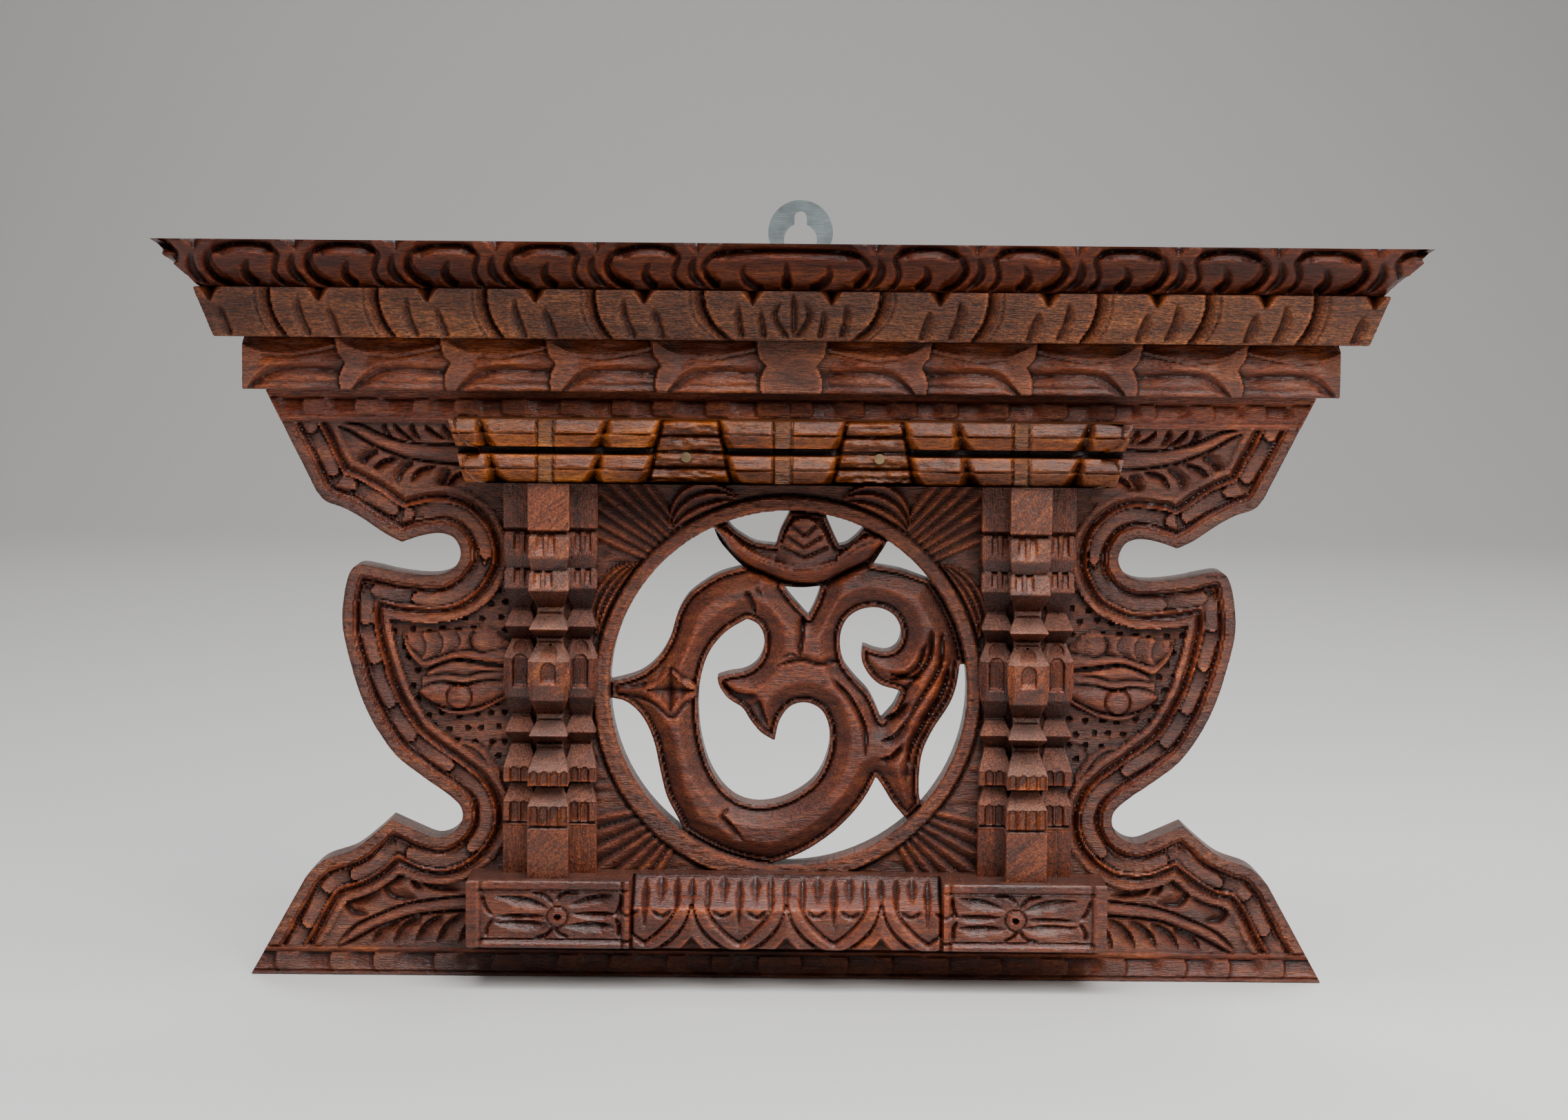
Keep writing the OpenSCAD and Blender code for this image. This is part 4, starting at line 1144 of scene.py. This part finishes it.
def strand_cut(u, share, face, height, kind):
    """Depth of carving on one face of a strand: u in mm from its middle, share of the height."""
    cut = np.zeros(u.shape)
    flute, places = (0.21, (-0.72, -0.2, 0.32, 0.8)) if kind == "front" else (0.27, (-0.36, 0.28))
    for low, high in FLUTES:
        for at in places:
            inside = (share > low - 0.001) & (share < high)
            cut += 1.6 * arched(u - at * face, (share - low) * height, flute * face,
                                (high - low) * height) * inside
    for k, (low, high) in enumerate(SCOOPS):
        for at in ((-0.56, -0.02), (-0.42, 0.12))[k] if kind == "front" else (-0.2, 0.44):
            rise = unit((share - low) / (high - low)) * (share < high + 0.004)
            floor = unit(1.7 * bump((u - at * face) / (face * 0.20)))
            cut += (0.3 * (rise > 0) + 2.1 * rise) * floor
    for top, ledge, foot in NICHES[kind]:
        half = 3.1
        opening = arched(u, (share - foot) * height, half, (top - foot) * height)
        lip = ledge - (ledge - foot) * 0.5 * (u / half) ** 2
        out = step((share - foot) / np.maximum(lip - foot, 1e-3), 0.0, 1.0)
        cut += 2.0 * opening * out * (share > foot)
    return np.clip(cut, 0, 3)


SPINE_DEEP, SPINE_HALF = 9.0, 5.25      # the web behind a front strand
BARREL, BARREL_HALF = 0.508, 0.085      # middle and half height of the barrel, as shares
FACE_POINTS, FLANK_POINTS, CORNER_POINTS = 27, 17, 3


def strand_heights(levels):
    """The profile's own heights, with finely spaced ones between them."""
    zs = [levels[0]]
    for a, b in zip(levels[:-1], levels[1:]):
        n = max(int(np.ceil((b - a) / FINE)), 1)
        zs += list(a + (b - a) * np.arange(1, n + 1) / n)
    return np.array(zs)


def strand_looks(zs, half, front, cuts):
    """Wear and rawness: rubbed rings and corners, painted shade in hollows, painted highlights on
    shelves, and a painted sheen on upward slopes.
    """
    slope = np.gradient(half, zs, axis=0)
    bend = np.zeros(len(zs))
    bend[1:-1] = (slope[:-2] - slope[2:])[:, 0]
    bend = np.convolve(bend, [0.25, 0.5, 0.25], "same")[:, None]
    faces_up = np.clip(np.gradient(front, zs, axis=0) - slope, -1.2, 1.2)
    shelf = np.clip(np.gradient(cuts, zs, axis=0), 0, 0.8)           # floors of cuts that face up
    # Upward slopes and the floors of cuts are lightened as painted highlights, and hollows are darkened
    # as painted shade; bends and corners are rubbed wear.
    wear_and_shading = 0.52 + 0.42 * np.clip(bend, -1, 1) - 0.05 * cuts + 0.36 * faces_up + 0.6 * shelf
    for k in (0, 1, CORNER_POINTS, CORNER_POINTS + 1):
        wear_and_shading[:, FLANK_POINTS - 1 + k] += 0.2
        wear_and_shading[:, -FLANK_POINTS - k] += 0.2
    # Upward slopes are made raw, which lightens and greys them as a painted sheen.
    raw_and_sheen = unit(0.08 + 1.3 * faces_up) - 0.4 * (cuts > 0.2)
    return unit(wear_and_shading), unit(raw_and_sheen)


def build_strand(node, spine):
    """A turned-and-faceted looking strand, square in plan, with carved faces."""
    xc, (level_z, level_half, level_front) = strand_levels(node)
    zs = strand_heights(level_z)
    height, back = zs[-1] - zs[0], FRONT - spine
    share = ((zs - zs[0]) / height)[:, None]
    half = np.interp(zs, level_z, level_half)[:, None]
    front = np.interp(zs, level_z, level_front)[:, None]
    barrel = unit(1 - np.abs(share - BARREL) / BARREL_HALF) ** 0.5
    corner = 0.35 + 2.6 * barrel * half / half.max()          # eight-sided where it bulges
    flat = half - corner
    flank = np.maximum(np.maximum(back - front, 0.4) - corner, 0.2)

    u = np.linspace(-1, 1, FACE_POINTS)
    v = np.linspace(0, 1, FLANK_POINTS)
    w = np.linspace(0, 1, CORNER_POINTS + 2)[1:-1]
    corner_x, corner_y, flank_y = half - corner * w, back - flank - corner * w, back - flank * v
    face_cut = strand_cut(flat * u, share, flat.max(), height, "front" if spine else "flank")
    face_cut *= unit((1 - np.abs(u)) / 0.05)
    flank_cut = strand_cut((v - 0.5) * flank, share, flank.max() / 2, height, "flank") * 0.6
    flank_cut *= unit(v / 0.08) * unit((1 - v) / 0.08)
    x = np.hstack([flank_cut - half, -corner_x, flat * u, corner_x[:, ::-1],
                   (half - flank_cut)[:, ::-1]])
    y = np.hstack([flank_y, corner_y, front + face_cut, corner_y[:, ::-1], flank_y[:, ::-1]])
    cuts = np.hstack([flank_cut, 0 * corner_x, face_cut, 0 * corner_x, flank_cut[:, ::-1]])

    rows, cols = x.shape
    z = np.repeat(zs[:, None], cols, axis=1)
    across = np.arange(cols)[None] * 0.6
    seed = int(abs(xc)) + (7 if xc > 0 else 0)
    fuzz = 0.06 * value_noise(across, z / 1.1, seed) + 0.05 * value_noise(across * 2, z / 0.6, seed + 1)
    y = y + fuzz * (y < back - 0.5)
    wear_and_shading, raw_and_sheen = strand_looks(zs, half, front, cuts)
    verts = np.stack([x + xc, y, z], 2).reshape(-1, 3)
    faces = grid_faces(rows, cols)
    faces += [[k + cols - 1, k, k + cols, k + 2 * cols - 1] for k in range(0, (rows - 1) * cols, cols)]
    verts = add_caps(verts, faces, cols)
    wear_and_shading, raw_and_sheen = padded(wear_and_shading, len(verts), 0.5), padded(raw_and_sheen, len(verts), 0.5)
    if spine:
        verts, faces = add_spine(verts, faces, xc, back, zs)
    # The web behind the front strand takes a low value, which darkens it as painted shade.
    return finish_mesh(node, verts, faces, padded(wear_and_shading, len(verts), 0.32),
                       padded(raw_and_sheen, len(verts), 0.6), 24)


def add_spine(verts, faces, xc, back, zs):
    """Straight rough-sawn web that ties the front strand to the board."""
    rows = np.linspace(zs[0], zs[-1], 90)
    depths = (FRONT, (FRONT + back) / 2, back)
    ring = [(xc - SPINE_HALF, y) for y in depths] + [(xc + SPINE_HALF, y) for y in depths[::-1]]
    n, start = len(ring), len(verts)
    pts = np.array([(x, y, z) for z in rows for x, y in ring])
    for row in range(start, start + (len(rows) - 1) * n, n):
        for k in range(n):
            a, b = row + k, row + (k + 1) % n
            faces.append([a, b, b + n, a + n])
    faces.append(list(range(start, start + n))[::-1])
    faces.append(list(range(start + (len(rows) - 1) * n, start + len(rows) * n)))
    return np.vstack([verts, pts]), faces


# ---------------------------------------------------------------- materials


class Shader:
    """A material with a Principled surface, and short ways to add the nodes that feed it."""

    def __init__(self, name, lean=0.0):
        self.material = bpy.data.materials.new(name)
        self.material.use_nodes = True
        self.material.node_tree.nodes.clear()
        self.lean = lean                        # tilt of the grain in degrees, seen from the front
        self.surface = self.new("BsdfPrincipled")
        self.new("OutputMaterial", {"Surface": self.surface.outputs[0]})

    def new(self, kind, inputs=None, **settings):
        """Add a node; its inputs are fed by name or number."""
        node = self.material.node_tree.nodes.new("ShaderNode" + kind)
        for key, value in settings.items():
            setattr(node, key, value)
        self.feed(node, inputs or {})
        return node

    def feed(self, node, inputs):
        """Set a node's inputs to plain values, or link them to another node's output."""
        for key, value in inputs.items():
            if isinstance(value, (int, float, tuple)):
                node.inputs[key].default_value = value
            else:
                self.material.node_tree.links.new(value, node.inputs[key])

    def noise(self, scale, size, detail, rough=0.6, distort=0.0):
        """Noise in the object's space, finer along an axis with a larger scale."""
        place = self.new("Mapping", {"Vector": self.new("TexCoord").outputs["Object"],
                                     "Scale": tuple(1 / s for s in scale),
                                     "Rotation": (0, math.radians(self.lean), 0)}, vector_type="TEXTURE")
        return self.new("TexNoise", {"Vector": place.outputs[0], "Scale": size, "Detail": detail,
                                     "Roughness": rough, "Distortion": distort}).outputs["Fac"]

    def attribute(self, name):
        """A value that is stored at each point of the mesh."""
        return self.new("Attribute", attribute_name=name).outputs["Fac"]

    def ramp(self, source, *stops):
        """Colours over a value: stops are a position and a colour, or a grey level."""
        node = self.new("ValToRGB", {"Fac": source})
        stops = [(at, (c, c, c, 1.0) if isinstance(c, float) else (*c, 1.0)) for at, c in stops]
        elements = node.color_ramp.elements
        elements[0].position, elements[0].color = stops[0]
        elements[1].position, elements[1].color = stops[-1]
        for at, colour in stops[1:-1]:
            elements.new(at).color = colour
        return node.outputs["Color"]

    def mix(self, kind, share, a, b):
        """Blend of two colours."""
        return self.new("Mix", {0: share, 6: a, 7: b}, data_type="RGBA", blend_type=kind).outputs[2]

    def span(self, source, low, high):
        """A value from 0 to 1, spread over low to high."""
        return self.new("MapRange", {"Value": source, "To Min": low, "To Max": high}).outputs[0]

    def add_bump(self, height, strength, distance):
        """Small bumps on the surface and on its coat."""
        bumps = self.new("Bump", {"Height": height, "Strength": strength, "Distance": distance})
        self.feed(self.surface, {"Normal": bumps.outputs[0], "Coat Normal": bumps.outputs[0]})


def wood(name, dark, mid, light, along="X", lean=0.0, rough=0.36, coat=0.4, dust=0.5,
         speck_and_glint=0.5, dust_and_sheen=0.08):
    """Stained, varnished hardwood: grain, pores, worn edges, and painted shade in the cuts."""
    s = Shader(name, lean)
    flat = along == "X"
    stretch = (1.0, 9.0, 9.0) if flat else (9.0, 9.0, 1.0)
    streaks = s.noise(stretch, 26.0, 7.0, 0.65, 0.4)
    broad = s.noise(tuple(v * 0.5 + 0.5 for v in stretch), 9.0, 4.0, 0.5, 0.8)
    pores = s.noise(stretch, 230.0, 3.0)
    blotch = s.noise((1.0, 1.0, 1.0), 14.0, 4.0)
    fine = s.noise((0.5, 1.0, 1.0) if flat else (1.0, 1.0, 1.0), 1300.0, 2.5, 0.7)
    worn_and_shaded, raw_and_sheen = s.attribute("wear_and_shading"), s.attribute("raw_and_sheen")

    colour = s.ramp(streaks, (0.28, dark), (0.5, mid), (0.74, light))
    # The last two tints: the wear and shading value darkens cuts as painted shade and lightens worn
    # edges, and on the columns and the top band it also paints highlights; raw wood is lightened and
    # greyed.
    for share, tint in (
            (1.0, s.ramp(broad, (0.3, (0.44, 0.36, 0.33)), (0.7, (1.08, 0.96, 0.78)))),
            (0.85, s.ramp(pores, (0.38, 0.30), (0.52, 1.06))),
            (0.8, s.ramp(blotch, (0.34, (0.66, 0.52, 0.55)), (0.66, (1.22, 1.16, 0.95)))),
            (1.0, s.ramp(worn_and_shaded, (0.0, (0.20, 0.14, 0.12)), (0.3, (0.60, 0.50, 0.44)), (0.5, 1.0),
                         (0.72, (1.40, 1.34, 1.28)), (1.0, (2.3, 2.2, 2.1)))),
            (1.0, s.ramp(raw_and_sheen, (0.0, 1.0), (1.0, (1.02, 1.24, 1.45))))):
        colour = s.mix("MULTIPLY", share, colour, tint)
    # Raw wood is mixed towards grey-pink: the pale look of rough raw wood on the boards, and a painted
    # sheen on the columns' upward slopes.
    colour = s.mix("MIX", s.span(raw_and_sheen, 0.0, dust_and_sheen), colour, (0.20, 0.118, 0.10, 1.0))
    # Tiny light specks in the grain, which also stand in for glints as painted highlights.
    specks_and_glints = s.ramp(fine, (0.36, 0.5), (0.5, 0.96), (0.66, (1.7, 1.62, 1.5)))
    colour = s.mix("MULTIPLY", speck_and_glint, colour, specks_and_glints)
    roughness = s.mix("ADD", 1.0, s.ramp(fine, (0.3, rough - 0.14), (0.7, rough + 0.18)),
                      s.ramp(raw_and_sheen, (0.0, 0.0), (1.0, 0.10)))

    # pores and dust stand out more where the wood is raw
    parts = [s.new("Math", {0: source, 1: s.span(raw_and_sheen, low, high)}, operation="MULTIPLY").outputs[0]
             for source, low, high in ((pores, 0.9, 3.0), (fine, dust, dust + 1.5))]
    height = s.new("Math", {0: parts[0], 1: parts[1]}, operation="ADD").outputs[0]
    s.add_bump(height, 0.65, 0.0005)
    s.feed(s.surface, {"Base Color": colour, "Roughness": roughness, "Specular IOR Level": 0.2,
                       "Coat Weight": coat, "Coat Roughness": 0.14})
    return s.material


def metal(name, colour, rough, tarnish):
    """Plated sheet metal with rolling marks; tarnish is the share of colour left in dull spots."""
    s = Shader(name)
    rolled = s.noise((40.0, 40.0, 900.0), 3.0, 6.0, 0.5)
    cloud = s.noise((1.0, 1.0, 1.0), 160.0, 5.0, 0.5)
    dull = tuple(c * tarnish for c in colour)
    s.feed(s.surface, {"Base Color": s.ramp(cloud, (0.3, dull), (0.65, colour)), "Metallic": 0.8,
                       "Roughness": s.span(rolled, rough - 0.1, rough + 0.15)})
    s.add_bump(rolled, 0.25, 0.0002)
    return s.material


BOARD = wood("board_wood", (0.042, 0.008, 0.004), (0.122, 0.028, 0.010), (0.23, 0.070, 0.024),
             coat=0.5)
SILL = wood("sill_wood", (0.042, 0.008, 0.004), (0.120, 0.028, 0.010), (0.22, 0.066, 0.022),
            rough=0.28, coat=0.8)
CROWN = wood("crown_wood", (0.034, 0.007, 0.003), (0.090, 0.021, 0.007), (0.17, 0.052, 0.018),
             coat=0.2)
PETAL = wood("petal_wood", (0.055, 0.017, 0.007), (0.130, 0.042, 0.016), (0.23, 0.086, 0.034),
             rough=0.44, coat=0.3, dust=0.8, speck_and_glint=1.0, dust_and_sheen=0.0)
LEAF = wood("leaf_wood", (0.060, 0.014, 0.006), (0.160, 0.044, 0.018), (0.29, 0.095, 0.038))
AMBER = wood("amber_wood", (0.045, 0.011, 0.003), (0.125, 0.036, 0.005), (0.23, 0.080, 0.011),
             rough=0.28, coat=0.3, dust_and_sheen=0.04)
# The columns mix their raw upward slopes strongly towards grey-pink, as a painted sheen.
COLUMN = wood("column_wood", (0.045, 0.009, 0.004), (0.136, 0.032, 0.010), (0.25, 0.072, 0.020),
              along="Z", rough=0.28, coat=0.7, dust=0.9, speck_and_glint=1.0, dust_and_sheen=0.42)
FRONT_COLUMN = wood("front_column_wood", (0.050, 0.010, 0.003), (0.160, 0.039, 0.009),
                    (0.31, 0.095, 0.020), along="Z", lean=48.0, rough=0.26, coat=0.8, dust=0.9,
                    speck_and_glint=1.0, dust_and_sheen=0.6)
ZINC = metal("zinc", (0.36, 0.43, 0.45), 0.30, 0.7)
NAIL = metal("nail_steel", (0.24, 0.17, 0.09), 0.50, 0.35)


def dress(obj, mat):
    """Give an object one material."""
    obj.data.materials.clear()
    obj.data.materials.append(mat)


# ---------------------------------------------------------------- all pieces

for node, z0, z1 in (("panel_lower_board", 0.0, SEAM), ("panel_upper_board", SEAM, TOP)):
    dress(build_board(node, z0, z1), BOARD)

for node, carve, centre, look in (("crown", carve_crown, CROWN_CENTRE, CROWN),
                                  ("petal_moulding", carve_petals, 0, PETAL),
                                  ("leaf_moulding", carve_leaves, 0, LEAF)):
    dress(carved_block(node, plank_levels(node), BACK, carve, centre), look)
for node, slot, carve, foot_half, look in (
        ("lintel", "amber_wood", carve_lintel, LINTEL_FOOT_HALF, AMBER),
        ("sill", "board_wood", carve_sill, SILL_HIGH[0], SILL)):
    low, high = box_mm(node)
    levels = ((low[2], high[2]), (foot_half, high[0]), (low[1], low[1]))
    dress(carved_block(node, levels, FRONT, carve), look)
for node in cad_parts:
    if node.startswith("column"):
        front = node.endswith("_front")
        dress(build_strand(node, SPINE_DEEP if front else 0), FRONT_COLUMN if front else COLUMN)

for node, mat in (("hanger_plate", ZINC), ("hanger_nails", ZINC), ("lintel_nails", NAIL),
                  ("cornice_nails", NAIL), ("sill_nails", NAIL)):
    dress(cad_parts[node], mat)

# ---------------------------------------------------------------- stage, light, camera


def stage_sheet():
    """Pale floor that sweeps up into a backdrop behind the panel."""
    run, rise, radius, n = 3.0, 2.6, 0.9, 14
    line = [(-2.6, 0.0), (run - radius, 0.0)]
    for k in range(1, n + 1):
        a = math.pi / 2 * k / n
        line.append((run - radius + radius * math.sin(a), radius - radius * math.cos(a)))
    line.append((run, rise))
    verts, faces = [], []
    for y, z in line:
        for x in (-3.5, 3.5):
            verts.append((x, y, z - 0.0003))
    for k in range(len(line) - 1):
        faces.append((2 * k, 2 * k + 1, 2 * k + 3, 2 * k + 2))
    mesh = bpy.data.meshes.new("floor_sweep")
    mesh.from_pydata(verts, [], faces)
    mesh.shade_smooth()
    obj = bpy.data.objects.new("floor_sweep", mesh)
    bpy.context.scene.collection.objects.link(obj)
    paint = Shader("floor_paint")
    cloud = paint.new("TexNoise", {"Scale": 3.0}).outputs["Fac"]
    tone = paint.ramp(cloud, (0.0, (0.60, 0.59, 0.575)), (1.0, (0.66, 0.65, 0.635)))
    paint.feed(paint.surface, {"Base Color": tone, "Roughness": 0.75})
    dress(obj, paint.material)


def area_light(name, place, target, size, power, colour=(1, 1, 1)):
    light = bpy.data.lights.new(name, "AREA")
    light.shape = "RECTANGLE"
    light.size, light.size_y = size
    light.energy = power
    light.color = colour
    obj = bpy.data.objects.new(name, light)
    obj.location = place
    aim = Vector(target) - Vector(place)
    obj.rotation_euler = aim.to_track_quat("-Z", "Y").to_euler()
    bpy.context.scene.collection.objects.link(obj)


stage_sheet()
area_light("key_front", (0.4, -1.05, 0.92), (0, 0, 0.16), (0.6, 0.6), 12, (1.0, 0.98, 0.95))
area_light("strip_top", (0.1, -0.3, 1.1), (0, 0, 0.15), (1.2, 0.75), 21, (0.97, 0.98, 1.0))
area_light("fill_left", (-1.4, -0.6, 0.5), (0, 0, 0.15), (0.3, 0.9), 3.5, (0.96, 0.98, 1.0))
area_light("fill_right", (1.5, -0.6, 0.6), (0, 0, 0.15), (0.3, 0.9), 5, (1.0, 0.98, 0.96))
area_light("back_soft", (0.3, 1.3, 1.9), (0, 0.9, 0.2), (1.8, 0.9), 32)

world = bpy.data.worlds.new("studio")
bpy.context.scene.world = world
world.use_nodes = True
world.node_tree.nodes["Background"].inputs[0].default_value = (0.80, 0.82, 0.85, 1)
world.node_tree.nodes["Background"].inputs[1].default_value = 0.08

CAMERA_AT = (-0.0022, -1.409, 0.2965)
CAMERA_TILT, CAMERA_ROLL = 5.18, 0.50
camera_data = bpy.data.cameras.new("camera")
camera_data.lens = 80.74
camera_data.sensor_width = 36.0
camera = bpy.data.objects.new("camera", camera_data)
camera.location = CAMERA_AT
camera.rotation_mode = "XYZ"
camera.rotation_euler = (math.radians(90 - CAMERA_TILT), 0, 0)
camera.rotation_euler.rotate_axis("Z", math.radians(CAMERA_ROLL))
bpy.context.scene.collection.objects.link(camera)
bpy.context.scene.camera = camera
